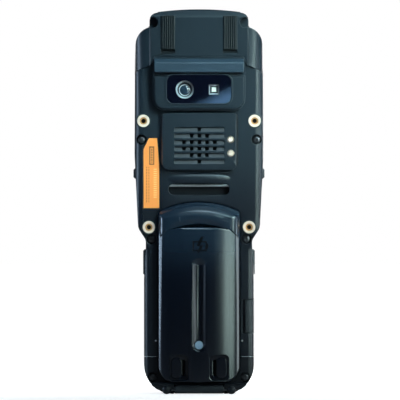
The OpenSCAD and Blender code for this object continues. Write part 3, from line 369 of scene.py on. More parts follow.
def pack_plastic():
    """Glossier plastic with painted light towards the pack's top, and the battery sign pressed in."""
    def build(n):
        # painted light, lighter towards the pack's top
        top = n.axes()[2].step(*PACK_TOP_LIGHT)
        moulded(n, colours().pack, rough=0.24, grain=3.0, depth=0.012 * MM, coat=0.1, worn=0.4,
                mark=battery_sign(n), painted_shading=(top, colours().pack_top_light))
    return material("pack_plastic", build)


def inner_plastic():
    return moulding("inner_plastic", (0.012, 0.013, 0.016), rough=0.5, grain=2.0, depth=0.03 * MM)


def rubber():
    return moulding("rubber", colours().rubber, rough=0.62, grain=1.6, depth=0.04 * MM, worn=0.5)


def button_rubber():
    return moulding("button_rubber", colours().button, rough=0.55, grain=2.0, depth=0.03 * MM, worn=0.5)


def flap_rubber():
    return moulding("flap_rubber", shade(colours().button, 0.8),
                    rough=0.55, grain=2.0, depth=0.03 * MM, worn=0.5)


def key_rubber():
    return moulding("key_rubber", colours().key, rough=0.48, grain=2.6, depth=0.02 * MM, worn=0.5)


def scan_key_rubber():
    return moulding("scan_key_rubber", colours().scan_key, rough=0.45, grain=2.6, depth=0.02 * MM, worn=0.1)


def mat_silicone():
    return moulding("mat_silicone", (0.055, 0.058, 0.062), rough=0.6, grain=1.4, depth=0.03 * MM)


def print_ink():
    def build(n):
        speck = n.noise(2.6, 3.0, 0.7)
        n.finish(Base_Color=n.mix(speck, shade(colours().legend, 0.85), colours().legend),
                 Roughness=0.42 + speck * 0.1, Normal=n.bump(speck, 0.008 * MM))
    return material("print_ink", build)


def metal(n, base, rough, stretch=(1, 1, 1), stain=0.25, satin=0.0, bare=None):
    """Metal with drawn or turned marks and a little tarnish. bare is where its plating is gone."""
    marks = n.noise(1.2, 3.0, 0.6, stretch)
    dull = n.noise(0.35, 4.0, 0.65).step(0.5, 0.8)
    tone = n.mix(marks * 0.35, base, shade(base, 0.72))
    if bare:
        tone = n.mix(bare, tone, colours().bronze)
    n.finish(Base_Color=n.mix(dull * stain, tone, shade(base, 0.45)), Metallic=1.0 - satin - dull * 0.15,
             Roughness=rough + marks * 0.12 + dull * 0.12, Normal=n.bump(marks, 0.006 * MM))


def steel():
    return material("drawn_steel", lambda n: metal(n, colours().steel, rough=0.28, stretch=(0.1, 1, 1)))


def dark_steel():
    return material("blackened_steel", lambda n: metal(n, (0.10, 0.10, 0.11), rough=0.38))


def brass():
    """Pale plated flanges, with bare bronze round the bores."""
    def build(n):
        x, _, z = n.axes()
        rings = [((x - side) ** 2.0 + (z - up) ** 2.0) < sizes().bore_ring ** 2
                 for side, up in places_of("insert_nuts")]
        metal(n, colours().brass, rough=0.36, stretch=(1, 6, 1), stain=0.10, satin=0.5,
              bare=sum(rings).clamped())
    return material("turned_brass", build)


def gold():
    return material("gold_plate", lambda n: metal(n, colours().gold, rough=0.30, stain=0.08, satin=0.5))


def window_glass():
    """Window printed dark on its inner face, clear in front of the lens and the flash."""
    def build(n):
        smear = n.noise(0.16, 4.0, 0.6, (1.0, 1.0, 0.5)).step(0.45, 0.8)
        x, y, z = n.axes()
        lens, flash = centre_of("camera_ring"), centre_of("flash_led")
        margin = 0.1 * MM
        ring, square = half_width("camera_ring") + margin, half_width("flash_led") + margin
        near = ((x - lens.x) ** 2.0 + (z - lens.z) ** 2.0) < ring ** 2
        across, up = abs(x - flash.x), abs(z - flash.z)
        outside = y < -10 * MM
        clear = (near + (across < square) * (up < square)) * outside
        # painted reflection: a lighter bluish streak across its lower right
        slope = x * 0.45 - (z - lens.z) + n.noise(0.10, 3.0) * 0.004
        film = slope.step(6 * MM, 14 * MM) * outside
        glass = n.mix(smear * 0.4, colours().glass, shade(colours().glass, 2.2))
        n.finish(Base_Color=n.mix(film * 0.6, glass, colours().film),
                 Alpha=1.0 - clear * 0.93, Roughness=0.05 + smear * 0.10, IOR=1.46, Coat_Weight=0.35,
                 Coat_Roughness=0.03, Normal=n.bump(smear, 0.002 * MM))
    return material("window_glass", build)


def screen_glass():
    """Cover glass, printed black round the picture area."""
    def build(n):
        smear = n.noise(0.10, 4.0, 0.6, (1.0, 1.0, 0.4)).step(0.45, 0.85)
        x, _, z = n.axes()
        middle, (low, high) = centre_of("display_module"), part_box("display_module")
        border = 1 * MM
        picture = (abs(x - middle.x) < (high.x - low.x) / 2 - border) * (
            abs(z - middle.z) < (high.z - low.z) / 2 - border)
        glass = n.mix(picture, (0.004, 0.004, 0.005), (0.015, 0.018, 0.022))
        n.finish(Base_Color=n.mix(smear * 0.3, glass, (0.022, 0.025, 0.030)), Roughness=0.07 + smear * 0.06,
                 IOR=1.5, Coat_Weight=0.3, Coat_Roughness=0.04, Normal=n.bump(smear, 0.002 * MM))
    return material("screen_glass", build)


def board_mask():
    """Solder mask with faint tracks."""
    def build(n):
        x, _, z = n.axes()
        tracks = ((x * 700.0).fract() > 0.72) + ((z * 520.0).fract() > 0.80)
        tone = n.mix(n.noise(0.05), (0.010, 0.085, 0.045), (0.016, 0.115, 0.060))
        n.finish(Base_Color=n.mix(tracks * 0.35, tone, (0.03, 0.19, 0.10)), Roughness=0.36,
                 Normal=n.bump(tracks * n.noise(0.3), 0.01 * MM))
    return material("board_mask", build)


def cell_wrap():
    def build(n):
        crease = n.noise(0.12, 3.0, 0.5, (1, 1, 4))
        n.finish(Base_Color=n.mix(crease, (0.03, 0.08, 0.20), (0.05, 0.12, 0.30)),
                 Roughness=0.24 + crease * 0.1, Normal=n.bump(crease, 0.05 * MM))
    return material("cell_wrap", build)


def label_film():
    """Orange printed film: a framed code, ruled lines and a ladder of bars, with no writing."""
    def build(n):
        x, _, z = n.axes()
        # places and widths are shares of the label's length and width
        low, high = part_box("label")
        along = (z - low.z) * (1 / (high.z - low.z))
        across = (x - low.x) * (1 / (high.x - low.x))
        aside, above = abs(across - 0.52), abs(along - 0.75)
        rim = (aside < 0.16) * (above < 0.132) - (aside < 0.09) * (above < 0.114)
        code = (aside < 0.06) * (above < 0.10) * ((z * 1100.0).fract() > 0.35)
        dashes = ((z * 640.0).fract() > 0.28) * (abs(along - 0.33) < 0.26)
        lines = dashes * ((abs(across - 0.20) < 0.022) + (abs(across - 0.34) < 0.016))
        ladder = (abs(across - 0.74) < 0.10) * (abs(along - 0.36) < 0.22) * ((z * 850.0).fract() > 0.55)
        grain = n.noise(1.4, 3.0, 0.6)
        paper = n.mix(n.noise(0.08), shade(colours().label, 0.90), shade(colours().label, 1.06))
        paper = n.mix(ladder * 0.55, paper, (0.99, 0.62, 0.26))
        ink = (rim + code * 0.85 + lines * 0.8).clamped() * (grain * 0.4 + 0.6)
        n.finish(Base_Color=n.mix(ink, paper, (0.05, 0.02, 0.01)), Roughness=0.42 + grain * 0.08,
                 Normal=n.bump(grain, 0.01 * MM))
    return material("label_film", build)


def lens_glass():
    def build(n):
        depth = n.noise(0.3, 2.0)
        n.finish(Base_Color=n.mix(depth, (0.010, 0.020, 0.034), (0.030, 0.055, 0.085)),
                 Roughness=0.05 + depth * 0.03, IOR=1.6, Coat_Weight=0.8, Coat_Roughness=0.02,
                 Normal=n.bump(depth, 0.004 * MM))
    return material("lens_glass", build)


def ring_paint():
    """White enamel on the rings round the lens and the flash."""
    def build(n):
        speck = n.noise(1.5, 3.0, 0.6)
        n.finish(Base_Color=n.mix(speck, (0.42, 0.45, 0.49), (0.54, 0.57, 0.61)),
                 Roughness=0.34 + speck * 0.1, Normal=n.bump(speck, 0.008 * MM))
    return material("ring_paint", build)


def flash_emitter():
    def build(n):
        cells = n.noise(1.2, 2.0)
        n.finish(Base_Color=n.mix(cells, (0.82, 0.80, 0.66), (0.94, 0.93, 0.84)), Roughness=0.3 + cells * 0.1,
                 Normal=n.bump(cells, 0.02 * MM))
    return material("flash_emitter", build)


def lamp_lens():
    def build(n):
        milky = n.noise(0.5, 3.0)
        n.finish(Base_Color=n.mix(milky, shade(colours().lamp, 0.9), shade(colours().lamp, 1.15)),
                 Roughness=0.28 + milky * 0.1, Normal=n.bump(milky, 0.01 * MM))
    return material("lamp_lens", build)


# ---------- modelling kit ----------

def add_object(name, data):
    """A new object with that data, in the scene."""
    added = bpy.data.objects.new(name, data)
    bpy.context.scene.collection.objects.link(added)
    return added


def put(bm, name, body, finish, replaces=()):
    """Makes the bmesh a piece that rides on that body.

    finish is one material, or a list of them that the faces' indices point into.
    """
    bmesh.ops.remove_doubles(bm, verts=bm.verts, dist=1e-7)
    for face in bm.faces:
        face.smooth = True
    for edge in bm.edges:
        edge.smooth = edge.is_manifold and edge.calc_face_angle(0.0) < SMOOTH_ANGLE
    mesh = bpy.data.meshes.new(name)
    bm.to_mesh(mesh)
    bm.free()
    for one in finish if isinstance(finish, (list, tuple)) else [finish]:
        mesh.materials.append(one)
    piece = add_object(name, mesh)
    evened = piece.modifiers.new("even_normals", "WEIGHTED_NORMAL")
    evened.mode, evened.keep_sharp = "FACE_AREA_WITH_ANGLE", True
    if replaces:
        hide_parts(*replaces)
    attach(piece, body)
    return piece


def soften(bm, edges, width):
    """Rounds edges by width."""
    if edges:
        bmesh.ops.bevel(bm, geom=edges, offset=width, offset_type="OFFSET", segments=2, profile=0.5,
                        affect="EDGES", material=-1, clamp_overlap=False, miter_outer="SHARP")


def sharp_edges(bm):
    """The edges that stand out."""
    return [e for e in bm.edges if e.is_manifold and e.is_convex and e.calc_face_angle(0.0) > EDGE_ANGLE]


def copy_of(node):
    """The CAD node's mesh as a closed bmesh."""
    bm = bmesh.new()
    bm.from_mesh(NODES[node].data)
    bmesh.ops.remove_doubles(bm, verts=bm.verts, dist=2e-6)
    return bm


def dress(node, body, finish, width, keep=lambda edge: True):
    """A CAD node's shape with its moulded edges rounded. keep(edge) picks the edges."""
    bm = copy_of(node)
    soften(bm, [e for e in sharp_edges(bm) if keep(e)], width)
    return put(bm, node + "_moulding", body, finish, [node])


def clad(finish, *nodes):
    """Gives CAD nodes a finish as they are."""
    for node in nodes:
        data = NODES[node].data
        data.materials.clear()
        data.materials.append(finish)


def places_of(node):
    """x and z of the middle of each separate part of a node, each place once."""
    bm = copy_of(node)
    places = []
    while bm.verts:
        bm.verts.ensure_lookup_table()
        part, front = {bm.verts[0]}, {bm.verts[0]}
        while front:
            front = {e.other_vert(v) for v in front for e in v.link_edges} - part
            part |= front
        place = tuple(sum(f(v.co[i] for v in part) for f in (min, max)) / 2 for i in (0, 2))
        if place not in places:
            places.append(place)
        bmesh.ops.delete(bm, geom=list(part), context="VERTS")
    bm.free()
    return places


def body_of(node):
    return NODES[node]["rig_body"]


def turned(bm, profile, x, z, r, y, steps=48):
    """A ring or a dome, turned about a line along y through x and z.

    The profile holds steps in mm outward from radius r and inward from y.
    """
    verts = [bm.verts.new((x + r + out * MM, y + back * MM, z)) for out, back in profile]
    edges = [bm.edges.new(pair) for pair in zip(verts, verts[1:] + verts[:1])]
    bmesh.ops.spin(bm, geom=verts + edges, cent=(x, 0, z), axis=(0, 1, 0), angle=math.tau, steps=steps,
                   use_merge=True)
    bmesh.ops.remove_doubles(bm, verts=bm.verts, dist=1e-7)
    bmesh.ops.recalc_face_normals(bm, faces=bm.faces)


def grown_verts(bm, faces):
    """Extrudes the faces and gives the new vertices."""
    grown = bmesh.ops.extrude_face_region(bm, geom=faces)["geom"]
    return [v for v in grown if isinstance(v, bmesh.types.BMVert)]


def cuboid(bm, low, high):
    """A block between two corners. Gives its vertices."""
    middle, size = [(a + b) / 2 for a, b in zip(low, high)], [b - a for a, b in zip(low, high)]
    verts = bmesh.ops.create_cube(bm, size=1.0)["verts"]
    bmesh.ops.scale(bm, vec=size, verts=verts)
    bmesh.ops.translate(bm, vec=middle, verts=verts)
    return verts


# text's x, y and z as seen from the front: to the left, up and towards the viewer
TO_FRONT = Matrix(((-1, 0, 0), (0, 0, 1), (0, 1, 0)))


def figure(text, height, depth, place):
    """A bmesh of the text, standing on the front at place."""
    em = 1.4   # a font's size over the height of its figures
    curve = bpy.data.curves.new("figure", "FONT")
    curve.body, curve.size, curve.extrude = text, height * em, depth / 2
    curve.align_x = curve.align_y = "CENTER"
    holder = add_object("figure", curve)
    shape = bpy.data.meshes.new_from_object(holder.evaluated_get(bpy.context.evaluated_depsgraph_get()))
    bm = bmesh.new()
    bm.from_mesh(shape)
    bpy.data.objects.remove(holder)
    bpy.data.meshes.remove(shape)
    bpy.data.curves.remove(curve)
    bmesh.ops.rotate(bm, matrix=TO_FRONT, verts=bm.verts)
    xs, zs = [v.co.x for v in bm.verts], [v.co.z for v in bm.verts]
    middle = Vector(((min(xs) + max(xs)) / 2, 0, (min(zs) + max(zs)) / 2))
    bmesh.ops.translate(bm, vec=Vector(place) - middle, verts=bm.verts)
    return bm


# ---------- operators ----------

# the figure on each number key
FIGURES = {"key_" + name: name for name in "1234567890"}
FIGURES.update(key_star="*", key_hash="#")


class TERMINAL_OT_rear_shell(bpy.types.Operator):
    """Rear shell with its strap slot, and the bar in the slot"""
    bl_idname = "terminal.rear_shell"
    bl_label = "Rear Shell"

    def execute(self, context):
        # only its outside is rounded
        back, side = -3.5 * MM, 28 * MM
        finishes = [shell_plastic(), painted_shade_plastic()]
        shell = dress("rear_shell", "case", finishes, sizes().shell_edge,
                      keep=lambda e: min(v.co.y for v in e.verts) < back or abs(e.verts[0].co.x) > side)
        # painted shade: the strap slot, which reaches down and inward from its bar, is coloured dark inside
        low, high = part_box("strap_bar")
        margin, below, behind = 0.5 * MM, 5 * MM, 4 * MM
        for face in shell.data.polygons:
            spot = face.center
            face.material_index = int(abs(spot.x) < high.x and low.z - below < spot.z < high.z + margin
                                      and low.y - margin < spot.y < high.y + behind)
        clad(rubber(), "shell_gasket")
        clad(steel(), "strap_bar")
        return {"FINISHED"}


class TERMINAL_OT_front_shell(bpy.types.Operator):
    """Front shell round the display and the keys"""
    bl_idname = "terminal.front_shell"
    bl_label = "Front Shell"

    def execute(self, context):
        # only the edges towards its face are rounded
        face_side = 12 * MM
        dress("front_shell", "case", front_plastic(), sizes().shell_edge,
              keep=lambda e: min(v.co.y for v in e.verts) > face_side)
        return {"FINISHED"}


class TERMINAL_OT_top_cap(bpy.types.Operator):
    """Scanner head cover with its two ridged strips, and the scan window"""
    bl_idname = "terminal.top_cap"
    bl_label = "Top Cap"

    def execute(self, context):
        finishes = [shell_plastic(), painted_shade_plastic()]
        cap = dress("top_cap", "case", finishes, sizes().ridge_edge)
        # painted shade: the ridged strips and the slots below them take a darker copy of the shell plastic
        inner, outer, foot = sizes().strip_inner, sizes().strip_outer, sizes().strip_foot
        proud = SHELL_BACK - 0.2 * MM
        for face in cap.data.polygons:
            spot = face.center
            face.material_index = int(inner < abs(spot.x) < outer and spot.y < proud and spot.z > foot)
        clad(window_glass(), "scan_window")
        clad(dark_steel(), "scan_engine")
        return {"FINISHED"}


class TERMINAL_OT_camera(bpy.types.Operator):
    """Visor, bezel, window, lens ring and flash"""
    bl_idname = "terminal.camera"
    bl_label = "Camera"

    def execute(self, context):
        # painted light: the visor takes a lighter copy of the shell plastic, standing in for light from above
        dress("visor", "case", shell_plastic("visor_painted_light", 2.6), sizes().visor_edge)
        dress("camera_bezel", "case", shell_plastic(), sizes().ridge_edge)
        clad(window_glass(), "camera_window")
        lens, ring_r = centre_of("camera_ring"), half_width("camera_ring")
        lens_z = lens.z - sizes().lens_drop
        face_y, back_y = (corner.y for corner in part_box("camera_ring"))
        ring_depth, barrel_depth = (back_y - face_y) / MM, (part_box("camera_lens")[1].y - face_y) / MM
        # enamelled rings: the outer one, and a thin one round the lens
        bm = bmesh.new()
        turned(bm, [(0, 0), (-0.45, 0), (-0.8, 0.5), (-0.8, 1.2), (-0.3, 1.2), (-0.3, ring_depth),
                    (0, ring_depth)], lens.x, lens.z, ring_r, face_y)
        turned(bm, [(3.15, 1.2), (2.80, 1.3), (2.80, 1.9), (3.15, 1.9)], lens.x, lens_z, 0, face_y)
        put(bm, "lens_trim", "case", ring_paint(), ["camera_ring"])
        # stepped barrel
        bm = bmesh.new()
        turned(bm, [(4.05, 0.7), (3.8, 0.7), (3.7, 1.5), (3.2, 1.6), (2.6, 1.8), (2.6, barrel_depth),
                    (4.05, barrel_depth)], lens.x, lens.z, 0, face_y)
        put(bm, "lens_barrel", "case", inner_plastic(), ["camera_lens"])
        bm = bmesh.new()
        turned(bm, [(0, 1.35), (1.2, 1.42), (2.1, 1.65), (2.8, 2.0), (2.8, 2.5), (0, 2.5)],
               lens.x, lens_z, 0, face_y)
        put(bm, "lens_dome", "case", lens_glass())
        # flash: a white frame round a dark well with the emitter in it
        bm = bmesh.new()
        low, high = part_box("flash_led")
        middle, reach = (low + high) / 2, half_width("flash_led") - sizes().flash_rim
        well_depth, rim_edge, tiny = 0.8 * MM, 0.15 * MM, 0.01 * MM
        die_gap, die_front, die_back = 0.7 * MM, 0.3 * MM, 1.0 * MM
        cuboid(bm, low, high)
        bm.faces.ensure_lookup_table()
        front = min(bm.faces, key=lambda f: f.calc_center_median().y)
        bmesh.ops.inset_region(bm, faces=[front], thickness=sizes().flash_rim)
        well = grown_verts(bm, [front])
        bmesh.ops.delete(bm, geom=[front], context="FACES_ONLY")
        bmesh.ops.translate(bm, vec=(0, well_depth, 0), verts=well)
        soften(bm, [e for e in sharp_edges(bm) if max(v.co.y for v in e.verts) < low.y + tiny], rim_edge)
        for face in bm.faces:
            away = face.calc_center_median() - middle
            face.material_index = int(max(abs(away.x), abs(away.z)) < reach + tiny)
        side = sizes().flash_rim + die_gap
        die = cuboid(bm, (low.x + side, low.y + die_front, low.z + side),
                     (high.x - side, low.y + die_back, high.z - side))
        for face in {f for v in die for f in v.link_faces}:
            face.material_index = 2
        finishes = [ring_paint(), inner_plastic(), flash_emitter()]
        put(bm, "flash_module", "case", finishes, ["flash_led"])
        return {"FINISHED"}


class TERMINAL_OT_speaker(bpy.types.Operator):
    """Speaker cover with its sloping louvres, and the driver behind it"""
    bl_idname = "terminal.speaker"
    bl_label = "Speaker"

    def execute(self, context):
        finishes = [shell_plastic(), inner_plastic(), painted_shade_plastic()]
        grille = dress("speaker_cover", "case", finishes, sizes().ridge_edge)
        # the slats behind its face take the inner plastic, and its sloping sides carry painted shade in a
        # darker copy of the shell plastic
        middle, face_y = centre_of("speaker_cover"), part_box("speaker_cover")[0].y
        face_depth, inner, half_height = 0.25 * MM, half_width("speaker_cover") - 3 * MM, 13 * MM
        for face in grille.data.polygons:
            spot = face.center
            inside = abs(spot.x - middle.x) < inner and abs(spot.z - middle.z) < half_height
            face.material_index = int(spot.y > face_y + face_depth) * (1 if inside else 2)
        # a dark seal round each spring contact
        bm = bmesh.new()
        for pin in ("upper_contact_pin", "lower_contact_pin"):
            at = centre_of(pin)
            turned(bm, [(0.2, 0.3), (0.2, -0.03), (0.6, -0.05), (0.7, 0.3)],
                   at.x, at.z, half_width(pin), face_y, steps=32)
        put(bm, "contact_seals", "case", rubber())
        clad(inner_plastic(), "speaker_driver")
        return {"FINISHED"}


def crown_roll(bm):
    """Crowns the flat face of the finger roll, an arc along the pack's upper edge.

    The crown fades out towards the roll's two ends.
    """
    arc_z, inner, outer = 56.7 * MM, 37.6 * MM, 43.2 * MM
    face_y, face_slack, foot_z = -15.6 * MM, 0.02 * MM, 88 * MM
    end_x, fade = 18.6 * MM, 8 * MM

    def flat_faces():
        return [f for f in bm.faces if all(
            abs(v.co.y - face_y) < face_slack and v.co.z > foot_z for v in f.verts)]

    # cuts every 0.8 mm up the face, from just above its foot, and every 1.6 mm from side to side
    cuts = [((0, 0, (88.2 + 0.8 * i) * MM), (0, 0, 1)) for i in range(15)]
    cuts += [((1.6 * i * MM, 0, 0), (1, 0, 0)) for i in range(-12, 13)]
    for place, normal in cuts:
        faces = flat_faces()
        geom = set(faces) | {e for f in faces for e in f.edges} | {v for f in faces for v in f.verts}
        bmesh.ops.bisect_plane(bm, geom=list(geom), dist=1e-6, plane_co=place, plane_no=normal)
    bmesh.ops.triangulate(bm, faces=flat_faces())
    for vert in {v for f in flat_faces() for v in f.verts}:
        across = (math.hypot(vert.co.x, vert.co.z - arc_z) - inner) / (outer - inner)
        aside = min(1.0, max(0.0, (end_x - abs(vert.co.x)) / fade))
        if 0 < across < 1:
            vert.co.y -= sizes().roll_crown * math.sin(math.pi * across) * aside * aside * (3 - 2 * aside)


class TERMINAL_OT_battery(bpy.types.Operator):
    """Battery pack: cover with its crowned roll and sign, tray, cells, contacts and lamp"""
    bl_idname = "terminal.battery"
    bl_label = "Battery Pack"

    def execute(self, context):
        bm = copy_of("battery_cover")
        soften(bm, sharp_edges(bm), sizes().pack_edge)
        crown_roll(bm)
        # rounded corners stay behind the pack's back
        back_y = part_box("battery_cover")[0].y
        for vert in bm.verts:
            vert.co.y = max(vert.co.y, back_y)
        put(bm, "battery_cover_moulding", "battery_pack", pack_plastic(), ["battery_cover"])
        clad(inner_plastic(), "battery_tray")
        clad(cell_wrap(), "battery_cells")
        clad(gold(), "battery_contacts", "bay_contacts")
        clad(lamp_lens(), "charge_lamp")
        return {"FINISHED"}


class TERMINAL_OT_latches(bpy.types.Operator):
    """The two sliding latches of the battery pack"""
    bl_idname = "terminal.latches"
    bl_label = "Latches"

    def execute(self, context):
        for node in ("left_latch", "right_latch"):
            dress(node, body_of(node), pack_plastic(), sizes().ridge_edge)
        return {"FINISHED"}


class TERMINAL_OT_lower_end(bpy.types.Operator):
    """Lower bumper with its knuckles, port lid, flap, hinge pins and sockets"""
    bl_idname = "terminal.lower_end"
    bl_label = "Lower End"

    def execute(self, context):
        # edges near the rails and very short ones stay sharp
        rails_z, shortest = 21.5 * MM, 0.4 * MM
        dress("end_cap", "case", front_plastic(), sizes().shell_edge,
              keep=lambda e: max(v.co.z for v in e.verts) < rails_z and e.calc_length() > shortest)
        dress("port_lid", "port_lid", rubber(), sizes().shell_edge)
        dress("side_flap", "side_flap", flap_rubber(), sizes().ridge_edge)
        clad(dark_steel(), "hinge_pins", "side_socket")
        # small studs in the rails beside the battery pack
        stud_x, stud_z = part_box("battery_cover")[1].x + 1.3 * MM, 29.2 * MM
        bm = bmesh.new()
        for x in (stud_x, -stud_x):
            turned(bm, [(0, -0.35), (0.35, -0.27), (0.55, -0.05), (0.55, 0.4), (0, 0.4)],
                   x, stud_z, 0, RAIL_BACK, steps=24)
        put(bm, "rail_studs", "case", steel())
        # painted highlight: pale strips in the seam between the bumper and the rails stand in for a glint of
        # light there
        seam_z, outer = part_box("end_cap")[1].z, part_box("end_cap")[1].x - 0.6 * MM
        sunk, depth, height = 0.1 * MM, 1.0 * MM, 0.2 * MM
        bm = bmesh.new()
        for low, high in ((stud_x, outer), (-outer, -stud_x)):
            cuboid(bm, (low, RAIL_BACK + sunk, seam_z), (high, RAIL_BACK + sunk + depth, seam_z + height))
        put(bm, "seam_glints", "case", ring_paint())
        clad(inner_plastic(), "dock_connector")
        return {"FINISHED"}


class TERMINAL_OT_side_keys(bpy.types.Operator):
    """Scan keys and buttons in the two sides"""
    bl_idname = "terminal.side_keys"
    bl_label = "Side Keys"

    def execute(self, context):
        for node in ("left_scan_key", "right_scan_key", "left_side_button", "right_side_button"):
            dress(node, body_of(node), button_rubber(), sizes().key_edge)
        return {"FINISHED"}


class TERMINAL_OT_keypad(bpy.types.Operator):
    """Keys of the front with their figures, and the mat behind them"""
    bl_idname = "terminal.keypad"
    bl_label = "Keypad"

    def execute(self, context):
        for node, text in FIGURES.items():
            dress(node, node, key_rubber(), sizes().key_edge)
            middle, face = centre_of(node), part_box(node)[1].y
            bm = figure(text, sizes().legend_height, sizes().legend_depth, (middle.x, face, middle.z))
            put(bm, node + "_figure", node, print_ink())
        dress("nav_key", "nav_key", key_rubber(), sizes().key_edge)
        dress("scan_key", "scan_key", scan_key_rubber(), sizes().key_edge)
        # arrows at the four sides of the large key
        middle, (low, high) = centre_of("nav_key"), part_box("nav_key")
        depth, from_edge, arrow_r = sizes().legend_depth, 2.6 * MM, 0.9 * MM
        bm = bmesh.new()
        for turn in range(4):
            a = math.radians(90 * turn)
            reach = ((high.x - low.x) if turn % 2 else (high.z - low.z)) / 2 - from_edge
            verts = bmesh.ops.create_circle(bm, cap_ends=True, radius=arrow_r, segments=3)["verts"]
            top = grown_verts(bm, list({f for v in verts for f in v.link_faces}))
            bmesh.ops.translate(bm, vec=(0, 0, depth), verts=top)
            bmesh.ops.rotate(bm, matrix=TO_FRONT @ Matrix.Rotation(a, 3, "Z"), verts=verts + top)
            place = (middle.x + reach * math.sin(a), high.y - depth / 2, middle.z + reach * math.cos(a))
            bmesh.ops.translate(bm, vec=place, verts=verts + top)
        bmesh.ops.recalc_face_normals(bm, faces=bm.faces)
        put(bm, "nav_arrows", "nav_key", print_ink())
        clad(mat_silicone(), "keypad_mat")
        clad(board_mask(), "keypad_board", "main_board")
        return {"FINISHED"}


class TERMINAL_OT_display(bpy.types.Operator):
    """Display glass with the module and the earpiece behind it"""
    bl_idname = "terminal.display"
    bl_label = "Display"

    def execute(self, context):
        clad(screen_glass(), "touch_glass")
        clad(dark_steel(), "display_module", "receiver", "vibration_motor")
        clad(gold(), "antenna")
        return {"FINISHED"}


class TERMINAL_OT_fittings(bpy.types.Operator):
    """Threaded inserts with their seals, screws, spring contacts and label"""
    bl_idname = "terminal.fittings"
    bl_label = "Fittings"

    def execute(self, context):
        dress("insert_nuts", "case", brass(), sizes().metal_edge)
        # a dark seal round each insert's flange
        flange_r = 3.4 * MM
        bm = bmesh.new()
        for x, z in places_of("insert_nuts"):
            turned(bm, [(0, 0.2), (0, -0.16), (0.3, -0.22), (0.65, -0.1), (0.7, 0.2)],
                   x, z, flange_r, SHELL_BACK)
        put(bm, "insert_seals", "case", rubber())
        # domed screw heads with a socket
        socket_r = 0.95 * MM
        bm = copy_of("case_screws")
        for x, z in places_of("case_screws"):
            turned(bm, [(0, 0.1), (0, -0.65), (0.55, -0.5), (1.05, -0.2), (1.25, 0.1)],
                   x, z, socket_r, SCREW_BACK)
        put(bm, "case_screws_domes", "case", dark_steel(), ["case_screws"])
        clad(gold(), "upper_contact_pin", "lower_contact_pin")
        clad(label_film(), "label")
        return {"FINISHED"}


# place, aim, width and height, power, tint and spread in degrees of each soft light
LIGHTS = {
    "right_strip": ((0.21, -0.06, 0.07), (0, 0, 0.07), (0.05, 0.20), 0.10, (0.80, 0.96, 1.0), 110),
    "right_softbox": ((0.27, -0.36, 0.00), (0, 0, 0.03), (0.14, 0.22), 0.18, (0.72, 1.0, 0.95), 80),
    "crown_softbox": ((0.03, -0.06, 0.42), (0, 0, 0.16), (0.22, 0.10), 0.05, (0.66, 0.90, 1.0), 180),
    "roll_softbox": ((0.02, -0.20, 0.36), (0, 0, 0.105), (0.14, 0.06), 0.012, (0.60, 0.85, 1.0), 24),
    "top_softbox": ((0.15, -0.22, 0.36), (0.005, 0, 0.192), (0.14, 0.10), 0.135, (0.54, 0.92, 1.0), 44),
    "face_softbox": ((0.38, -0.46, 0.30), (0.034, 0, 0.138), (0.12, 0.12), 0.085, (0.76, 1.0, 0.96), 24),
    "left_strip": ((-0.75, -0.10, 0.08), (0, 0, 0.08), (0.10, 0.5), 1.5, (0.56, 0.76, 1.0), 110),
    "front_softbox": ((-0.25, 0.40, 0.30), (0, 0, 0.11), (0.3, 0.3), 0.6, (1, 1, 1), 180),
    "front_fill": ((0.25, 0.35, 0.15), (0, 0, 0.11), (0.15, 0.3), 1.2, (1, 1, 1), 180),
}


def area_light(name, place, aim, size, power, tint, spread):
    data = bpy.data.lights.new(name, "AREA")
    data.shape, data.size, data.size_y = "RECTANGLE", *size
    data.energy, data.color, data.spread = power, tint, math.radians(spread)
    light = add_object(name, data)
    light.location = place
    light.rotation_euler = (Vector(aim) - Vector(place)).to_track_quat("-Z", "Y").to_euler()


def floor_paint(n):
    """White studio floor that takes a soft shadow and shows white to the camera."""
    x, y, _ = n.axes()
    away = (x ** 2.0 + y ** 2.0).step(0.01, 0.25)
    tone = n.mix(n.noise(0.002), (0.88, 0.88, 0.88), (0.92, 0.92, 0.92))
    paint = n.add("ShaderNodeBsdfDiffuse", {}, {"Color": tone})
    glow = n.add("ShaderNodeEmission", {}, {"Color": (1, 1, 1), "Strength": n.seen() * (away * 0.30 + 0.70)})
    n.end(n.add("ShaderNodeAddShader", {}, {0: paint, 1: glow}))


def room_and_white(n):
    """White to the camera, and a dim room to everything else."""
    room = n.add("ShaderNodeBackground", {}, {"Color": colours().room, "Strength": ROOM_STRENGTH})
    white = n.add("ShaderNodeBackground", {}, {"Color": (1, 1, 1), "Strength": 1.0})
    n.end(n.add("ShaderNodeMixShader", {}, {0: n.seen(), 1: room, 2: white}))


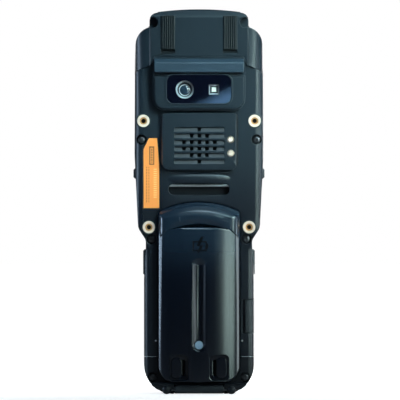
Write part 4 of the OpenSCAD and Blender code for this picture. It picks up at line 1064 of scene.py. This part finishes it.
class TERMINAL_OT_studio(bpy.types.Operator):
    """Floor, soft lights, pale surroundings and camera"""
    bl_idname = "terminal.studio"
    bl_label = "Studio"

    def execute(self, context):
        scene = context.scene
        floor_reach = 6.0
        bm = bmesh.new()
        bmesh.ops.create_grid(bm, x_segments=1, y_segments=1, size=floor_reach)
        mesh = bpy.data.meshes.new("floor")
        bm.to_mesh(mesh)
        bm.free()
        floor = add_object("floor", mesh)
        mesh.materials.append(material("floor_paint", floor_paint))
        scene.world = bpy.data.worlds.new("surroundings")
        room_and_white(Nodes(scene.world, "ShaderNodeOutputWorld"))
        for name, setting in LIGHTS.items():
            area_light(name, *setting)
        data = bpy.data.cameras.new("camera")
        distance, (view_x, view_z) = sizes().camera_distance, VIEW_PLACE
        data.sensor_width = 36.0
        data.lens = data.sensor_width * distance / sizes().view_height
        camera = add_object("camera", data)
        camera.location = (view_x, -distance, view_z)
        camera.rotation_euler = (math.radians(90), 0, 0)
        scene.camera = camera
        scene.view_settings.view_transform = "Standard"
        return {"FINISHED"}


PIECES = [TERMINAL_OT_rear_shell, TERMINAL_OT_front_shell, TERMINAL_OT_top_cap, TERMINAL_OT_camera,
          TERMINAL_OT_speaker, TERMINAL_OT_battery, TERMINAL_OT_latches, TERMINAL_OT_lower_end,
          TERMINAL_OT_side_keys, TERMINAL_OT_keypad, TERMINAL_OT_display, TERMINAL_OT_fittings,
          TERMINAL_OT_studio]


class TERMINAL_PT_pieces(bpy.types.Panel):
    """Sizes, colours and pieces of the terminal"""
    bl_idname = "TERMINAL_PT_pieces"
    bl_label = "Data Terminal"
    bl_space_type = "VIEW_3D"
    bl_region_type = "UI"
    bl_category = "Terminal"

    def draw(self, context):
        layout = self.layout
        for piece in PIECES:
            layout.operator(piece.bl_idname)
        for group in (context.scene.terminal_sizes, context.scene.terminal_colours):
            box = layout.box()
            for key in group.bl_rna.properties.keys():
                if key not in ("rna_type", "name"):
                    box.prop(group, key)


CLASSES = [TerminalSizes, TerminalColours, *PIECES, TERMINAL_PT_pieces]


def register():
    for cls in CLASSES:
        bpy.utils.register_class(cls)
    bpy.types.Scene.terminal_sizes = PointerProperty(type=TerminalSizes)
    bpy.types.Scene.terminal_colours = PointerProperty(type=TerminalColours)


def unregister():
    del bpy.types.Scene.terminal_colours
    del bpy.types.Scene.terminal_sizes
    for cls in reversed(CLASSES):
        bpy.utils.unregister_class(cls)


def main():
    register()
    for piece in PIECES:
        getattr(bpy.ops.terminal, piece.bl_idname.split(".")[1])()


if __name__ == "__main__":
    main()
